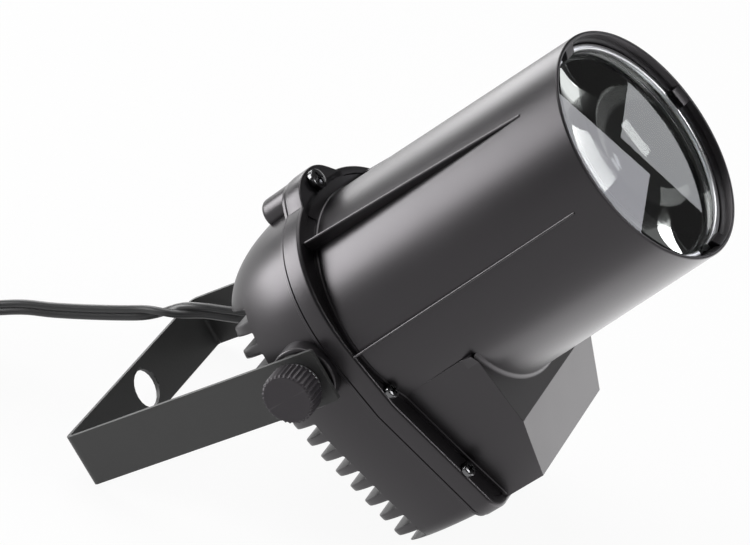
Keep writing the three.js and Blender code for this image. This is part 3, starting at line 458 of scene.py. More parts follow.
def throughPoints(points, per=24):
    # centripetal Catmull-Rom
    points = np.asarray(points, float)
    padded = np.concatenate([[2 * points[0] - points[1]], points, [2 * points[-1] - points[-2]]])
    steps = np.diff(padded, axis=0)
    gaps = np.sqrt(np.linalg.norm(steps, axis=1))[:, None]
    a, b, c = gaps[:-2], gaps[1:-1], gaps[2:]
    first = (steps[:-2] / a - (steps[:-2] + steps[1:-1]) / (a + b) + steps[1:-1] / b) * b
    last = (steps[1:-1] / b - (steps[1:-1] + steps[2:]) / (b + c) + steps[2:] / c) * b
    t = np.linspace(0, 1, per, endpoint=False)[:, None, None]
    p, q = points[:-1], points[1:]
    line = ((2 * t ** 3 - 3 * t ** 2 + 1) * p + (t ** 3 - 2 * t ** 2 + t) * first
            + (3 * t ** 2 - 2 * t ** 3) * q + (t ** 3 - t ** 2) * last)
    return np.concatenate([line.transpose(1, 0, 2).reshape(-1, points.shape[1]), points[-1:]])


def smooth(share):
    share = np.clip(share, 0, 1)
    return share * share * (3 - 2 * share)


def evenly(line, step):
    reach = np.concatenate([[0], np.cumsum(np.linalg.norm(np.diff(line, axis=0), axis=1))])
    at = np.linspace(0, reach[-1], int(reach[-1] / step) + 1)
    return np.stack([np.interp(at, reach, line[:, k]) for k in range(3)], -1), at


def cordMiddle():
    # even points from the gland to the plug, the way up to each, and where the plug begins
    gland, start = cord["exit"], cord["start"]
    coilTop = coilBase + coil["layer"] + cord["width"] / 2
    run = throughPoints([fromHead(*gland), fromHead(gland[0] - cord["width"], gland[1]), *cord["route"],
                         (start + cord["width"], coilTop), (start, coilTop)])
    whole = 2 * pi * coil["turns"]
    angle = np.linspace(0, whole, coil["turns"] * coil["perTurn"] + 1)
    spiral = coil["radius"] - coil["pitch"] * np.minimum(angle, whole - angle) / (2 * pi)
    share = np.clip((angle - (whole - pi) / 2) / pi, 0, 1)
    drop = share ** 3 * (share * (6 * share - 15) + 10)
    wound = np.stack([
        start - cord["straight"] + spiral * np.cos(pi / 2 + angle),
        -coil["radius"] + spiral * np.sin(pi / 2 + angle),
        coilTop + drop * (coilBase + cord["width"] / 2 - coilTop)], -1)
    share = np.linspace(0, 1, 8)
    x = wound[-1, 0] - coil["leadOut"] - coil["drop"] * share
    lead = np.stack([x, 0 * x, wound[-1, 2] + (plugMiddle - wound[-1, 2]) * smooth(share)], -1)
    face = x[-1] - coil["end"]
    line = np.concatenate([np.insert(run, 1, 0, axis=1)[:-1], wound, lead, [[face - coil["inPlug"], 0, plugMiddle]]])
    return (*evenly(line, cord["step"]), face)


cordLine, cordReach, plugFace = cordMiddle()


def flatSection(width, thickness, web, count=32):
    # two round cores at the sides of a flat web, by direction
    turn = around(count)
    lobe = thickness / 2
    wide = width / 2 * np.cos(turn)
    thin = np.sqrt(np.maximum(lobe ** 2 - (abs(wide) - (width / 2 - lobe)) ** 2, 0))
    inner = abs(wide) < width / 2 - lobe
    return wide, np.sign(np.round(np.sin(turn), 9)) * np.where(inner, np.maximum(thin, web), thin)


def sweep(line, wide, thin, twist=0.0):
    # the section carried along the line, turned about it by the twist
    along = unit(np.gradient(line, axis=0))
    side = unit(np.cross((0, 0, 1), along))
    tall = np.cross(along, side)
    turn = np.broadcast_to(twist, len(line))[:, None]
    flat = side * np.cos(turn) + tall * np.sin(turn)
    broad = tall * np.cos(turn) - side * np.sin(turn)
    return loft(line[:, None] + flat[:, None] * thin[:, None] + broad[:, None] * wide[:, None])


twistFrom, twistTo = cord["twist"]
cordPiece = addPiece(
    "cord", sweep(cordLine, *flatSection(cord["width"], cord["thickness"], cord["web"]),
                  twist=pi * smooth((cordReach - twistFrom) / (twistTo - twistFrom))),
    cordPvc, "cord_tail cord_run cord_coil", None, cordPlace, sharp=60)
cordWorld = pivot + mm * cordLine
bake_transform(cordPiece)


# Tie round the coil, plug and its blades
def tieBand():
    # a small rounded rectangle carried round a larger one in the coil's section
    low, high = coilBase - tie["clearance"], coilBase + coil["layer"] + cord["width"] + tie["clearance"]
    near = coil["radius"] - coil["pitch"] * coil["turns"] / 2 - cord["thickness"] / 2 - tie["clearance"]
    far = coil["radius"] + cord["thickness"] / 2 + tie["clearance"]
    half, wide = tie["thickness"] / 2, tie["width"] / 2
    loop = rounded(rectangle((near - half, far + half), (low - half, high + half)), tie["corner"], 7)
    along = unit(np.roll(loop, -1, 0) - np.roll(loop, 1, 0))
    out = np.stack([along[:, 1], -along[:, 0]], -1)
    across, thick = rounded(rectangle((-wide, wide), (-half, half)), tie["edge"], 4).T
    spot = loop[:, None] + out[:, None] * thick[:, None]
    rings = np.stack([spot[..., 0], np.broadcast_to(across, spot.shape[:2]), spot[..., 1]], -1)
    turn = radians(tie["at"])
    spin = np.array([[cos(turn), sin(turn), 0], [-sin(turn), cos(turn), 0], [0, 0, 1]])
    return loft(rings @ spin + np.array([cord["start"] - cord["straight"], -coil["radius"], 0]), looped=True)


def squareRing(wide, tall, corner, steps=7):
    return rounded(rectangle((wide / 2, -wide / 2), (tall / 2, -tall / 2)), corner, steps)


def plugShape():
    # rounded squares along x: the neck grows to the body by a smooth step, less the grooves
    along, grooves = np.array(plug["along"]), np.array(plug["grooves"])
    start, end = plug["swell"]
    swell = smooth((along - start) / (end - start))
    neck = plug["neck"] + plug["flare"] * np.clip(along / plug["neckLength"], 0, 1)
    wide = neck + (plug["width"] - neck) * swell - grooves
    tall = neck + (plug["height"] - neck) * swell - grooves
    return stacked([(plugFace - x, squareRing(w, t, min(w, t) * plug["corner"]) + (0, plugMiddle))
                    for x, w, t in zip(along, wide, tall)])


def plate(outline, holes, extra=()):
    # a flat sheet with holes, as triangles in two dimensions; extra lines give it places to bend
    loops = [np.asarray(outline), *holes]
    starts = np.cumsum([0] + [len(loop) for loop in loops])
    edges = [(int(s + k), int(s + (k + 1) % len(loop))) for s, loop in zip(starts, loops) for k in range(len(loop))]
    at = int(starts[-1])
    for line in extra:
        edges += [(at + k, at + k + 1) for k in range(len(line) - 1)]
        at += len(line)
    points = [Vector(point) for point in np.concatenate([*loops, *extra])]
    spots, _, faces, *_ = delaunay_2d_cdt(points, edges, [], 1, 1e-6)
    spots = np.array([tuple(spot) for spot in spots])

    def inHole(middle):
        return any(np.linalg.norm(middle - hole.mean(0)) < np.linalg.norm(hole[0] - hole.mean(0)) * 0.98
                   for hole in holes)

    return spots, [list(face) for face in faces if not inHole(spots[list(face)].mean(0))]


def circle(radius, centre, count=64):
    return centre + polar(radius, around(count))


def bladeShape(sign):
    end = plugFace - plug["length"]
    tip, root, half = end - blade["length"], end + blade["root"], blade["width"] / 2
    outline = rounded(rectangle((tip, root), (-half, half)), (blade["corner"], 0, 0, blade["corner"]), 6)
    spots, faces = plate(outline, [circle(blade["hole"], (tip + blade["holeAt"], 0), 32)])
    y = np.full(len(spots), sign * blade["spacing"] / 2)
    return np.stack([spots[:, 0], y, plugMiddle + spots[:, 1]], -1), faces


sides = (("near", -1), ("far", 1))
tiePiece = addPiece("tie", tieBand(), blackRubber, "cord_tie", "bracket", cordPlace)
plugPiece = addPiece("plug", plugShape(), innerPlastic, "plug_body", "bracket", cordPlace, sharp=50)
bladePieces = [addPiece("blade_" + side, bladeShape(sign), brass, "plug_blade_" + side, "bracket", cordPlace,
                        bevel=0.25, limit=50, thick=blade["thickness"]) for side, sign in sides]
cordWorld[::2].tolist() + [cordWorld[-1].tolist()]

# Housings: the outline seen along the barrel is an arch above straight sides that draw in to a narrower foot
archPower = 2.3
flange = {"side": 43, "top": 46.5, "straight": 17, "foot": 36, "bottom": 64.5, "corner": 7, "back": 11, "face": 18,
          "wall": 2, "edge": 1.1, "seam": 0.3, "step": 2.9, "stepDepth": 0.35, "stepSlope": 0.15, "floorIn": 0.6,
          "boreIn": 1.5}
rear = {"setIn": 1.5, "front": 10.7, "back": -24.3, "domeHeight": 14, "domeLength": 32, "domeStart": 5, "draft": 0.07,
        "footShare": 0.75, "corner": 6, "edge": 3, "wall": 2.2, "floor": 2.5, "floorMiddle": -8, "join": 0.1,
        "lip": 1.2, "lipIn": 0.25, "lipEdges": (0.25, 0.2)}
slots = {"count": 14, "pitch": 6.75, "lowest": -58.25, "mouth": 4.5, "root": 3.1, "depth": 12, "rootFillet": 0.9,
         "fillet": 0.5, "nose": 1.2, "noseSide": 0.6, "footNose": 0.2, "footShort": 2.0, "footThick": 0.8}
slotFloor = rear["back"] + slots["depth"]


def archOutline(sizes, inset=0.0):
    # above: |y / side| and |z / top| to the power, added, make 1; below: straight walls, round corners
    side, top, foot, bottom = (sizes[key] - inset for key in ("side", "top", "foot", "bottom"))
    corner = max(sizes["corner"] - inset / 2, 1)
    turn = np.linspace(0, pi, 97)
    across, up = np.cos(turn), np.sin(turn)
    arch = np.stack([side * np.sign(across) * abs(across) ** (2 / archPower), top * abs(up) ** (2 / archPower)], -1)
    left, right = ((sign * (foot - corner), corner - bottom) + polar(corner, start + turn[:49:6])
                   for sign, start in ((-1, pi), (1, 1.5 * pi)))
    straight = sizes["straight"]
    return np.concatenate([arch, [(-side, -straight)], left, right, [(side, -straight)]])


def rearSizes(x):
    # the outline's sizes at x: less by an ellipse towards the back and a quarter circle at its edge
    back = np.maximum(0, rear["domeStart"] - x)
    dome = rear["domeHeight"] * (1 - np.sqrt(1 - (back / rear["domeLength"]) ** 2))
    past = np.maximum(0, rear["back"] + rear["edge"] - x)
    edge = rear["edge"] - np.sqrt(np.maximum(0, rear["edge"] ** 2 - past ** 2))
    return {
        "side": flange["side"] - rear["setIn"] - dome - edge,
        "top": flange["top"] - rear["setIn"] - dome - edge,
        "foot": flange["foot"] - rear["setIn"] - dome * rear["footShare"] - edge,
        "bottom": flange["bottom"] - rear["setIn"] - rear["draft"] * (rear["front"] - x) - edge,
        "straight": flange["straight"], "corner": rear["corner"],
    }


def halfWidth(sizes, z):
    # the outline's half width at height z
    side, foot, bottom, corner = (sizes[key] for key in ("side", "foot", "bottom", "corner"))
    arch = side * np.maximum(0, 1 - np.clip(z / sizes["top"], 0, 1) ** archPower) ** (1 / archPower)
    down = np.clip((-sizes["straight"] - z) / (bottom - corner - sizes["straight"]), 0, 1)
    taper = side + (foot - side) * down
    low = np.clip(corner - bottom - z, 0, corner)
    return np.where(z > 0, arch, taper) - (corner - np.sqrt(corner ** 2 - low ** 2))


def filleted(distance, radius):
    # how far a round edge draws in at a distance: radius - root of radius squared - rest squared
    left = np.clip(radius - distance, 0, radius)
    return radius - np.sqrt(np.maximum(radius ** 2 - left ** 2, 0))


def slotHalf(x):
    # half a slot's height: a straight taper, round at its root
    depth = slotFloor - x
    half = (slots["root"] + (slots["mouth"] - slots["root"]) * depth / slots["depth"]) / 2
    return half - filleted(depth, slots["rootFillet"])


def finShape(k):
    # fin k lies between slot k - 1 and slot k; the first and last reach the housing's own skin
    turn = np.linspace(0, pi / 2, 7)
    back = rear["back"] + (0 if k else slots["footShort"])
    root = slotFloor - slots["rootFillet"] * (1 - np.cos(turn))
    nose = back + slots["nose"] * (1 - np.sin(turn))
    x = np.concatenate([root, np.linspace(root[-1], nose[0], 9)[1:-1], nose])[:, None]
    sizes = rearSizes(x)
    tip = filleted(x - back, slots["nose"]) * (1 if k else slots["footNose"])
    lowOpen, highOpen = k > 0, k < slots["count"]
    lower = slots["lowest"] + (k - 1) * slots["pitch"] + slotHalf(x) + tip if lowOpen else -sizes["bottom"]
    upper = slots["lowest"] + k * slots["pitch"] - slotHalf(x) - tip if highOpen else sizes["top"]
    if not lowOpen:
        upper = np.maximum(upper, lower + slots["footThick"])
    rise = (1 - np.cos(pi * np.linspace(0, 1, 9 if lowOpen and highOpen else 25))) / 2
    z = lower + (upper - lower) * rise
    y = halfWidth(sizes, z) - tip * slots["noseSide"]
    if lowOpen:
        y -= filleted(z - lower, slots["fillet"])
    if highOpen:
        y -= filleted(upper - z, slots["fillet"])
    x, y = np.broadcast_to(x, z.shape), np.maximum(y, 0)
    return loft(np.concatenate([np.stack([x, y, z], -1), np.stack([x, -y, z], -1)[:, ::-1]], 1))


def rearShell():
    # from the middle of the floor along the inside to the lip, then back over the skin
    floor, front, back = slotFloor + rear["floor"], rear["front"] + rear["join"], rear["front"] - rear["lip"]
    first, last = rear["lipEdges"]
    middle = 0 * archOutline(flange) + (0, rear["floorMiddle"])
    inner = [(x, archOutline(rearSizes(x), rear["wall"])) for x in np.linspace(floor, rear["front"], 6)]
    lip = [(x, archOutline(flange, rear["lipIn"] + more))
           for x, more in ((front, first), (front - first, 0), (back + last, 0), (back, last))]
    skin = [(x, archOutline(rearSizes(x))) for x in np.linspace(back, slotFloor, 15)]
    return stacked([(floor, middle), *inner, *lip, *skin, (slotFloor, middle)])


def flangeShell():
    # the outline from the seam over the round edge and the step, then back through the bore
    back, face, wall, edge, seam, step, slope = (
        flange[key] for key in ("back", "face", "wall", "edge", "seam", "step", "stepSlope"))
    turn, sunk = np.linspace(0, pi / 2, 6), face - flange["stepDepth"]
    outline = archOutline(flange, step + flange["floorIn"])
    bore = polar(barrel["back"] - flange["boreIn"], np.arctan2(outline[:, 1], outline[:, 0]))
    rings = [(back, archOutline(flange, seam)), (back + seam, archOutline(flange))]
    rings += [(face - edge * (1 - sin(t)), archOutline(flange, edge * (1 - cos(t)))) for t in turn]
    rings += [(face, archOutline(flange, step - slope)), (sunk, archOutline(flange, step + slope)), (sunk, outline),
              (sunk, bore), (face - wall, bore)]
    rings += [(x, archOutline(flange, wall)) for x in (face - wall, back)]
    return stacked(rings, looped=True)


# The barrel's wall: its root is given from the flange's face and its own skin, its front from the mouth
barrel = {
    "back": 40.4, "mouth": 38.4, "length": 101, "root": [(-2, -1.4), (-1, 0.4), (0, 0.4), (0.4, 0)],
    "front": [(0, 37.3), (-2, 36.6), (-13.5, 36.6), (-13.5, 33.5), (-15.5, 33.5), (-15.5, 36.9)],
    "inside": [(0.5, 38.3), (0.5, 35.5), (-1.7, 35.5)],
    "roundings": (0, 0.1, 0.8, 0.8, 0.75, 0.4, 0.4, 0.2, 0.4, 0.4, 0.2, 0.2, 0.2, 0.2),
}
barrelBack, barrelMouth = flange["face"], flange["face"] + barrel["length"]


def barrelShell():
    line = [(barrelBack + x, barrel["back"] + r) for x, r in barrel["root"]] + [(barrelMouth, barrel["mouth"])]
    line += [(barrelMouth + x, r) for x, r in barrel["front"]] + [(barrelBack + x, r) for x, r in barrel["inside"]]
    return turned(rounded(line, barrel["roundings"]), steps=192)


def barrelRadius(x):
    return barrel["back"] + (barrel["mouth"] - barrel["back"]) * (x - barrelBack) / barrel["length"]


ribs = {
    "upper": {"at": 34.7, "height": 5, "end": 0.4, "length": 86, "thick": 1.0},
    "side": {"at": 87, "height": 2.4, "end": 0.3, "length": 90, "thick": 0.8},
    "behind": 0.6, "sink": 0.8, "flare": 1.1,
}


def ribShape(rib, sign):
    # a half-round crown on a straight top line, its foot under the barrel's skin
    x = np.linspace(barrelBack - ribs["behind"], barrelBack + rib["length"], 40)
    share = np.clip((x - barrelBack) / rib["length"], 0, 1)
    end = barrelRadius(barrelBack + rib["length"]) + rib["end"]
    top = (barrel["back"] + rib["height"]) * (1 - share) + end * share
    foot = (barrelRadius(x) - ribs["sink"])[:, None]
    turn, half, at = np.linspace(0, pi, 9), rib["thick"] / 2, radians(sign * rib["at"])
    across = np.concatenate([[half * ribs["flare"]], half * np.cos(turn), [-half * ribs["flare"]]])
    radius = np.concatenate([foot, top[:, None] - half + half * np.sin(turn), foot], 1)
    return loft(np.stack([np.broadcast_to(x[:, None], radius.shape), radius * sin(at) + across * cos(at),
                          radius * cos(at) - across * sin(at)], -1))


box = {"depth": (8, 44.5, 63.5), "front": (31.6, 25.2, 15.5), "side": (38.0, 31.3, 27.3), "wall": 1.8, "into": 39.4,
       "behind": 1.2}


def boxShape():
    # three plates and a floor; each column of the plates goes up until it is inside the barrel's wall
    half, back = box["wall"] / 2, barrelBack - box["behind"]
    u = np.concatenate([np.linspace(0, 1, 9), np.ones(31), np.linspace(1, 0, 9)])
    w = np.concatenate([-np.ones(9), np.linspace(-1, 1, 33)[1:-1], np.ones(9)])

    def sizeAt(depth, key):
        return np.interp(depth, box["depth"], box[key]) - half

    first, knee, last = box["depth"]
    top = np.full(len(u), float(first))
    for _ in range(8):
        top = np.sqrt(np.maximum(box["into"] ** 2 - (w * sizeAt(top, "side")) ** 2, first ** 2))
    step = np.concatenate([np.linspace(0, 1, 9), [1.25, 1.5, 1.75, 2]])[:, None]
    depth = np.where(step <= 1, top + (knee - top) * step, knee + (last - half - knee) * (step - 1))
    x = back + u * (barrelBack + sizeAt(depth, "front") - back)
    rows = np.stack([x, w * sizeAt(depth, "side"), -depth], -1)
    at = np.arange(depth.size).reshape(depth.shape)
    quads = np.stack([at[:-1, :-1], at[:-1, 1:], at[1:, 1:], at[1:, :-1]], -1).reshape(-1, 4)
    return rows.reshape(-1, 3), quads.tolist() + [at[-1].tolist()]


boxFillet = {"radius": 1.3, "sink": 0.5, "reach": 63}


def boxFilletShape():
    # hollow quarter round along the line where the barrel comes out of the box's front
    turn = np.radians(np.linspace(-boxFillet["reach"], boxFillet["reach"], 61))[:, None]
    quarter, size, sink = np.linspace(0, pi / 2, 9), boxFillet["radius"], boxFillet["sink"]
    forward = np.append(size * (1 - np.sin(quarter)), -sink)
    outward = np.append(size * (1 - np.cos(quarter)), -sink)

    def frontAt(radius):
        return barrelBack + np.interp(radius * np.cos(turn), box["depth"], box["front"])

    radius = barrelRadius(frontAt(barrel["back"])) + outward
    return loft(np.stack([frontAt(radius) + forward, radius * np.sin(turn), -radius * np.cos(turn)], -1))


def rootOutline(grow):
    # the barrel's circle, or the box's walls where they stand outside it, as a radius for each direction
    half = np.stack([box["side"], -np.array(box["depth"])], -1)
    walls = np.concatenate([half, half[::-1] * (-1, 1)])
    share = np.linspace(0, 1, 25)[:-1, None]
    line = np.concatenate([a + (b - a) * share for a, b in zip(walls[:-1], walls[1:])] + [walls[-1:]])[::-1]
    turn = around(240)
    toWall = np.interp(turn, np.arctan2(line[:, 1], line[:, 0]) % (2 * pi), np.linalg.norm(line, axis=1), 0, 0)
    return polar(np.maximum(barrel["back"], toWall) + grow, turn)


collar = {"behind": 0.8, "end": 19.2, "proud": 0.35, "edge": 0.3, "sink": 1.0}


def collarShape():
    # the root outline along x, grown by the profile
    back, end, proud, edge = barrelBack - collar["behind"], collar["end"], collar["proud"], collar["edge"]
    line = [(back, proud), (end - edge, proud), (end, proud - edge), (end, -collar["sink"]), (back, -collar["sink"])]
    return stacked([(x, rootOutline(grow)) for x, grow in line], looped=True)


lug = {"half": [(15.5, 43.4), (13.2, 45.2), (11.0, 47.6), (8.6, 49.7), (5.4, 51.2), (1.8, 51.8)], "foot": (12, 38),
       "corner": 2.4, "edge": 0.6, "sideShare": 0.6, "lipEdge": 0.2}


def lugOutline(inset):
    half = np.array(lug["half"]) - (inset * lug["sideShare"], inset)
    foot = [(-lug["foot"][0], lug["foot"][1]), lug["foot"]]
    return rounded(np.concatenate([half, half[::-1] * (-1, 1), foot]), lug["corner"], 5)


hook = {"half": 3.0, "short": 0.4, "section": [(-3.2, 34.6), (-1.3, 34.4), (0, 36.8), (0, 37.9), (-3.2, 37.9)]}


def hookShape(turn):
    # a wedge: thick at the wall, thin over the ring
    front, c, s = barrelMouth - hook["short"], cos(turn), sin(turn)
    rings = [[(front + x, across, r) for x, r in hook["section"]] for across in (-hook["half"], hook["half"])]
    return loft(np.array(rings) @ np.array([[1, 0, 0], [0, c, s], [0, -s, c]]))


# Round bosses: two at the pivot, the screw tower on top and the seat of the cord's gland
bosses = {
    "pivot": {"radius": 10.5, "start": 39, "end": 45.6, "edges": (0, 0.8)},
    "tower": {"radius": 5.4, "start": 9, "end": -2.7, "edges": (0, 1.8), "z": 46},
    "seat": {"radius": 7.5, "start": slotFloor + 1, "end": rear["back"], "edges": (0, 1.0)},
}


def drum(size, centre, axis="x", sign=1, steps=72):
    # a cylinder with a round edge at each end
    start, end, radius = size["start"], size["end"], size["radius"]
    line = rounded([(start, 0), (start, radius), (end, radius), (end, 0)], (0, *size["edges"], 0), closed=False)
    return turned(line * (sign, 1), centre, axis, steps)


fins = [finShape(k) for k in range(slots["count"] + 1)]
hooks = [hookShape(k * pi / 2) for k in range(4)]
ridges = [ribShape(ribs[key], sign) for _, sign in sides for key in ("upper", "side")]
lugLip = pulled(lambda inset: lugOutline(inset + rear["lipIn"]), rear["front"] + rear["join"],
                rear["front"] - rear["lip"], lug["lipEdge"])
pivotCentre = (0, 0, pivotRise)
rounds = [drum(bosses["pivot"], pivotCentre, "y", sign) for _, sign in sides]
rounds += [drum(bosses["tower"], (0, 0, bosses["tower"]["z"])), lugLip, drum(bosses["seat"], (0, 0, cord["exit"][1]))]
for name, shape, more in (
        ("front_barrel", barrelShell(), {}),
        ("front_flange", flangeShell(), {"sharp": 30}),
        ("front_box", boxShape(), {"bevel": 1.0, "limit": 10, "thick": box["wall"]}),
        ("front_fillet", boxFilletShape(), {}),
        ("front_collar", collarShape(), {"sharp": 30}),
        ("front_ribs", together(*ridges), {}),
        ("front_lug", pulled(lugOutline, flange["back"], flange["face"], lug["edge"]), {}),
        ("front_hooks", together(*hooks), {"bevel": 0.25}),
        ("rear_shell", rearShell(), {"sharp": 30}),
        ("rear_fins", together(*fins), {"sharp": 50}),
        ("rear_bosses", together(*rounds), {})):
    addPiece(name, shape, housingPlastic, name.split("_")[0] + "_housing", **more)
print("housings ready")

# Pan-head screws with a cross recess, along x. Crown, floor and cross are shares of the head's height and radius,
# foot and wall are shares of the cross.
pan = {"proud": 0.3, "crown": 0.6034, "floor": 0.4, "cross": (0.62, 0.15), "crossTurn": 0.3, "foot": 0.78,
       "wall": 0.98, "lip": 0.08, "rings": (0.25, 0.5, 0.72, 0.88, 0.96), "under": 0.8, "edge": 0.12}
flangeScrew = {"head": 2.45, "height": 2.1, "shank": 1, "length": 17, "sink": flange["stepDepth"],
               "spots": [(-39.9, -13.2), (39.9, -13.2), (-34.9, -47.7), (34.9, -47.7)]}
lugScrew = {"head": 3.4, "height": 2.3, "shank": 1.6, "length": 17, "sink": 0, "spots": [(0, 47.5)]}


def crossRadius(turn, long, half):
    # the radius of a cross by direction
    c, s = abs(np.cos(turn)) + 1e-9, abs(np.sin(turn)) + 1e-9
    return np.maximum(np.minimum(long / c, half / s), np.minimum(half / c, long / s))


def screwShape(size, y, z):
    # rings along x: cross, dome as a root of 1 - (r / head) squared, shank and point
    head, height, shank, length = (size[key] for key in ("head", "height", "shank", "length"))
    face, turn, edge = flange["face"] + pan["proud"] - size["sink"], around(96) + pan["crossTurn"], pan["edge"]
    slot = crossRadius(turn, *(head * share for share in pan["cross"]))
    floor, crown = height * pan["floor"], height * pan["crown"]

    def dome(radius):
        return crown + (height - crown) * np.sqrt(np.maximum(0, 1 - (radius / head) ** 2))

    rings = [(floor, 0), (floor, slot * pan["foot"]), (dome(slot) - pan["lip"], slot * pan["wall"]),
             (dome(slot), slot + pan["lip"])]
    rings += [(dome(r), r) for r in (slot + (head - slot) * share for share in pan["rings"])]
    rings += [(crown * pan["under"], head), (edge, head), (0, head - edge), (0, shank), (shank - length, shank),
              (-length, 0)]
    return loft(np.array([wheel(face + x, r, turn) for x, r in rings]) + (0, y, z))


screws = [(f"screw_{k}", f"flange_screw_{k}", flangeScrew, spot) for k, spot in enumerate(flangeScrew["spots"], 1)]
for name, node, size, spot in [*screws, ("screw_lug", "lug_screw", lugScrew, lugScrew["spots"][0])]:
    addPiece(name, screwShape(size, *spot), blackZinc, node, sharp=30)

# Lens stack, all turned about the barrel's axis; each lens goes from its flat face over its edge to its dome
lens = {"flat": 112.9, "way": -1, "radius": 36, "edge": 5, "dome": 33, "height": 10.9, "chamfer": (0.63, 0.9)}
condenser = {"flat": 36.6, "way": 1, "radius": 21.5, "edge": 2.5, "dome": 21.2, "height": 8, "chamfer": (0.2, 0.2)}
gasket = {"x": (105.8, 107.6), "radius": (33.6, 36.2), "edge": 0.4}
holder = {"edge": 0.3, "line": [(16.3, 20), (36.3, 20), (36.3, 21.8), (39.3, 21.8), (39.3, 23.6), (18.1, 23.6),
                                (18.1, 29), (16.3, 29)]}
ring = {"outer": 36.4, "wide": 1.9, "back": 112.95, "corner": 0.7, "open": 10, "at": 261}


def lensShape(size, steps):
    # flat face and edge, then a sphere's cap: root of sphere squared - r squared
    flat, way, radius, height = (size[key] for key in ("flat", "way", "radius", "height"))
    (deep, broad), start = size["chamfer"], flat + way * size["edge"]
    sphere = (size["dome"] ** 2 + height ** 2) / (2 * height)
    r = size["dome"] * np.cos(np.linspace(0, pi / 2, 24))
    dome = np.stack([start + way * (np.sqrt(sphere ** 2 - r ** 2) - (sphere - height)), r], -1)
    edge = [(flat, 0), (flat, radius - broad), (flat + way * deep, radius), (start, radius)]
    return turned(np.concatenate([edge, dome]), steps=steps)


def ringShape():
    # a square-section wire, open at one side
    half = ring["wide"] / 2
    turn = np.radians(ring["at"] + ring["open"] / 2 + np.linspace(0, 360 - ring["open"], 181))[:, None]
    section = squareRing(ring["wide"], ring["wide"], ring["corner"], 6)
    return loft(wheel(ring["back"] + half + section[:, 1], ring["outer"] - half + section[:, 0], turn))


addPiece("lens", lensShape(lens, 192), glass, "main_lens", sharp=25)
addPiece("gasket", turned(rounded(rectangle(gasket["x"], gasket["radius"]), gasket["edge"])), blackRubber,
         "lens_gasket")
addPiece("condenser", lensShape(condenser, 144), glass, "condenser_lens", sharp=25)
addPiece("holder", turned(rounded(holder["line"], holder["edge"])), innerPlastic, "condenser_holder")
addPiece("ring", ringShape(), zinc, "lens_ring")
print("screws and lens ready")

# Knurled knobs: (y, radius, share of the ridges) from the inner face to the outer one
knob = {
    "start": 49.85, "ridges": 34, "depth": 0.55, "sharpness": 0.7,
    "line": [(0, 0, 0), (0, 6.6, 0), (0, 6.9, 0), (0.3, 7.7, 0.4), (0.7, 8.4, 1), (1.2, 8.53, 1), (7.6, 8.53, 1),
             (8.1, 8.4, 1), (8.4, 8.15, 0.8), (8.6, 7.8, 0.3), (8.65, 7.5, 0), (8.65, 7.1, 0), (8.6, 6.6, 0),
             (8.6, 6.3, 0), (8.6, 0, 0)],
}
# Pivot hardware on both sides, as rings by their ends along y and their radii, and the knob's rod
tubes = {
    "steel_washer": {"y": (48.75, 49.55), "radius": (2.8, 7.2), "surface": zinc, "node": "knob_washer"},
    "soft_washer": {"y": (45.9, 46.65), "radius": (2.8, 9), "surface": blackRubber, "node": "friction_washer"},
    "insert": {"y": (33.6, 45.6), "radius": (2.8, 4.2), "surface": brass, "node": "pivot_insert"},
}
tubeEdge = 0.15
rod = {"start": 34.1, "end": 56.35, "radius": 2.5, "edges": (0.4, 0.4)}


def knobShape(sign):
    # radius - share x depth x a power of (1 - cosine of the ridges x the turn) / 2
    turn = around(knob["ridges"] * 8)
    ridge = knob["depth"] * (0.5 - 0.5 * np.cos(knob["ridges"] * turn)) ** knob["sharpness"]
    rings = [wheel(sign * (knob["start"] + y), r - share * ridge, turn)[:, [1, 0, 2]] for y, r, share in knob["line"]]
    return loft(np.array(rings) + pivotCentre)


for side, sign in sides:
    own = side + "_knob"
    addPiece(side + "_thumb_knob", knobShape(sign), knobPlastic, own, own, sharp=32)
    for name, size in tubes.items():
        line = rounded(rectangle(size["y"], size["radius"]), tubeEdge, 4) * (sign, 1)
        addPiece(f"{side}_{name}", turned(line, pivotCentre, "y", 64), size["surface"], f"{side}_{size['node']}",
                 own if name == "steel_washer" else "head")
    addPiece(side + "_rod", drum(rod, pivotCentre, "y", sign, 48), zinc, side + "_stud", own)

# Gland at the back
gland = {"line": [(-9.5, 0), (-9.5, 4), (-24.6, 4), (-24.6, 5.6), (-26.6, 5.6), (-26.6, 0)],
         "edges": (0, 0.3, 0, 0.2, 0.9, 0)}
addPiece("gland", turned(rounded(gland["line"], gland["edges"], closed=False), (0, 0, cord["exit"][1]), "x", 64),
         blackRubber, "cord_gland")

# Bracket: a strap cut flat with its three holes, then bent
strap = {"width": 18, "thickness": 1.5, "span": 96.9, "reach": 89.4, "tip": 9.6, "bend": 2.5, "bolt": 6.5,
         "hole": 2.8, "corner": 1.0, "margin": 0.8, "beside": 0.7}


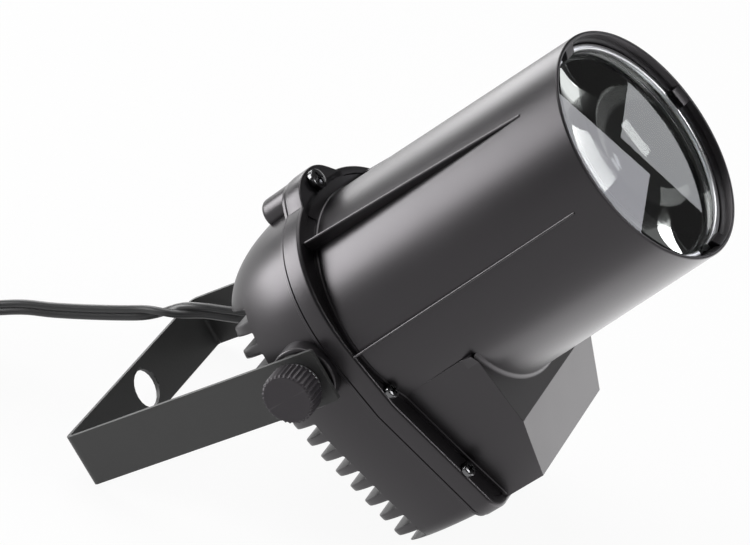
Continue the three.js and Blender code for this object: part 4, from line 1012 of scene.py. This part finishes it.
def strapShape():
    # the length from the middle becomes a straight, an arc of the bend and a straight
    middle, long = strap["thickness"] / 2, strap["reach"] - strap["bend"]
    radius, flat = strap["bend"] - middle, strap["span"] / 2 - strap["bend"]
    arc = radius * pi / 2
    total, half, pin = flat + arc + long + strap["tip"], strap["width"] / 2, flat + arc + long
    sizes = ((strap["bolt"], 0, 80), (strap["hole"], pin, 32), (strap["hole"], -pin, 32))
    outline = rounded(rectangle((-total, total), (-half, half)), strap["corner"], 6)
    bends = [flat - strap["beside"], *(flat + arc * k / 8 for k in range(9)), flat + arc + strap["beside"]]
    lines = [np.array([(sign * s, -half), (sign * s, half)]) for s in bends for sign in (-1, 1)]
    # a line of points beside every edge keeps worn paint to the edge itself
    x, y = total - strap["margin"], half - strap["margin"]
    inner = [rectangle((-x, x), (-y, y))] + [circle(size + strap["margin"], (place, 0), count)
                                             for size, place, count in sizes]
    lines += [np.concatenate([loop, loop[:1]]) for loop in inner]
    spots, faces = plate(outline, [circle(size, (place, 0), count) for size, place, count in sizes], lines)
    s, w = abs(spots[:, 0]), spots[:, 1]
    turn = np.clip(s - flat, 0, arc) / radius
    past = np.maximum(s - flat - arc, 0)
    along = -strap["reach"] + middle + radius * (1 - np.cos(turn)) + past
    across = np.minimum(s, flat) + radius * np.sin(turn)
    return np.stack([along, np.sign(spots[:, 0]) * across, w], -1), faces


addPiece("bracket", strapShape(), bracketPaint, "yoke", "bracket", bracketPlace, bevel=0.22, limit=50,
         thick=strap["thickness"])
print("knobs and bracket ready")

# Pieces inside that stay as modelled
carried = {
    aluminium: "heat_sink", greenBoard: "driver_board", whiteBoard: "led_board", phosphor: "led_emitter",
    windingTape: "driver_transformer", innerPlastic: "driver_capacitor gland_nut", terminalWhite: "terminal_block",
    zinc: "heat_sink_screw_low heat_sink_screw_high led_board_screw_near led_board_screw_far "
          "driver_board_screw_near driver_board_screw_far",
    cordPvc: "mains_lead_near led_lead_near", whitePvc: "mains_lead_far", redPvc: "led_lead_far",
}
for surface, names in carried.items():
    for name in names.split():
        node = frame["nodes"][name]
        node.data.materials.clear()
        node.data.materials.append(surface)

# Studio: a pale floor under a sky that is pale at the horizon, soft lights, and cards seen in gloss and glass only
studio = {
    "horizon": 0.85, "zenith": 0.12, "band": (-0.03, 0.1), "floor": 0.9, "white": 0.93, "half": 12,
    "aim": (0.0, 0.0, 0.08),
    "key": {"place": (-0.6, 0.5, 1.3), "size": (1.2, 1.2), "power": 12},
    "side": {"place": (-1.27, -0.26, 0.28), "size": (0.9, 0.6), "power": 19},
    "fill": {"place": (0.78, 0.02, 0.7), "size": (0.22, 0.6), "power": 3.6},
}
# Panes stand where the lens front mirrors the camera; corners in mm across and up, seen from the lens
panes = {
    "low_pane": {"corners": [(29.9, 50.3), (-7.8, -9.2), (-95, -10.5), (-95, 50.3)], "strength": 3.6,
                 "tint": (0.88, 0.89, 1, 1)},
    "high_pane": {"corners": [(6.2, 6.3), (60, 8), (90, -40), (20, -80), (-30.5, -49.4)], "strength": 3.1,
                  "tint": (0.9, 0.94, 1, 1)},
}
paneDistance = 0.5
# Bright paper on the floor, which the barrel's underside and the box mirror, and a card behind the lamp
bounce = {"x": (0.055, 0.4), "y": (-0.06, 0.4), "rise": 0.001, "strength": 2.6}
rim = {"place": (-0.9, 0.9), "half": 0.25, "z": (0.02, 0.95), "strength": 5.6}
ground = min(0.0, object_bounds()[0][2])


def stageMesh(name, corners, material):
    mesh = bpy.data.meshes.new(name)
    mesh.from_pydata([tuple(c) for c in corners], [], [tuple(range(len(corners)))])
    mesh.materials.append(material)
    made = placed(name, mesh)
    return made


# Paper. Colour: the pale tone in faint clouds. Roughness: 0.9. Seen directly, in gloss or through glass it is
# mostly plain white: the share is the white value x the lesser of one and the three kinds of ray added.
def paper():
    s = Surface("paper")
    kinds = ("Is Camera Ray", "Is Glossy Ray", "Is Transmission Ray")
    seen = sum((s.node("LightPath", output=kind) for kind in kinds), 0)
    s.finish(Base_Color=s.mix(s.noise(3), grey(studio["floor"] * 0.98), grey(studio["floor"])), Roughness=0.9,
             Specular_IOR_Level=0.0)
    plain = s.node("Emission", Color=grey(1.0), Strength=1.0)
    blend = s.tree.nodes.new("ShaderNodeMixShader")
    values = (seen.maths("MINIMUM", 1.0) * studio["white"], Signal(s.tree, s.shader.outputs[0]), plain)
    for place, value in zip(blend.inputs, values):
        wire(s.tree, value, place)
    s.tree.links.new(blend.outputs[0], s.tree.nodes["Material Output"].inputs["Surface"])
    return s.material


# Lit card. Emission: grey mixed with the tint by soft noise, times the strength.
def lightCard(name, corners, tint, strength):
    s = Surface(name + " light")
    s.finish(Base_Color=grey(0.0), Emission_Color=s.mix(s.noise(9), tint, grey(0.85)), Emission_Strength=strength)
    card = stageMesh(name, corners, s.material)
    card.visible_camera = card.visible_diffuse = card.visible_shadow = False


def mirrored(corners):
    middle = headPlace[1] + mm * lens["flat"] * barrelAxes[0]
    towards = unit(middle - np.array(camera["place"]))
    bounced = towards - 2 * (towards @ barrelAxes[0]) * barrelAxes[0]
    across = unit(np.cross((0, 0, 1), bounced))
    up = np.cross(bounced, across)
    return [middle + paneDistance * bounced + mm * (u * across + v * up) for u, v in corners]


def softLight(name):
    values = studio[name]
    data = bpy.data.lights.new(name, "AREA")
    data.shape, data.energy = "RECTANGLE", values["power"]
    data.size, data.size_y = values["size"]
    lamp = placed(name, data)
    lamp.location = values["place"]
    lamp.rotation_euler = (Vector(studio["aim"]) - Vector(values["place"])).to_track_quat("-Z", "Y").to_euler()


reach = (-studio["half"], studio["half"])
stageMesh("floor", [(x, y, ground) for x, y in rectangle(reach, reach)], paper())
for name, pane in panes.items():
    lightCard(name, mirrored(pane["corners"]), pane["tint"], pane["strength"])
lightCard("bounce_card", [(x, y, ground + bounce["rise"]) for x, y in rectangle(bounce["x"], bounce["y"])],
          grey(1.0), bounce["strength"])
softLight("key")
softLight("side")
rimSide = rim["half"] * unit(np.array([rim["place"][1], -rim["place"][0]]))
lightCard("rim_card", [(*(np.array(rim["place"]) + sign * rimSide), ground + z)
                       for sign, z in rectangle((-1, 1), rim["z"])], grey(1.0), rim["strength"])
softLight("fill")

# Surround: its strength goes from the horizon's to the zenith's with the height of the direction
world = bpy.data.worlds.new("surround")
bpy.context.scene.world = world
world.use_nodes = True
sky = world.node_tree
facing = sky.nodes.new("ShaderNodeSeparateXYZ")
sky.links.new(sky.nodes.new("ShaderNodeTexCoord").outputs["Generated"], facing.inputs[0])
lift = Signal(sky, facing.outputs["Z"]).between(*studio["band"])
background = sky.nodes["Background"]
wire(sky, studio["horizon"] - (studio["horizon"] - studio["zenith"]) * lift, background.inputs["Strength"])
background.inputs["Color"].default_value = grey(1.0)
bpy.context.scene.view_settings.view_transform = "Standard"
print("studio ready")
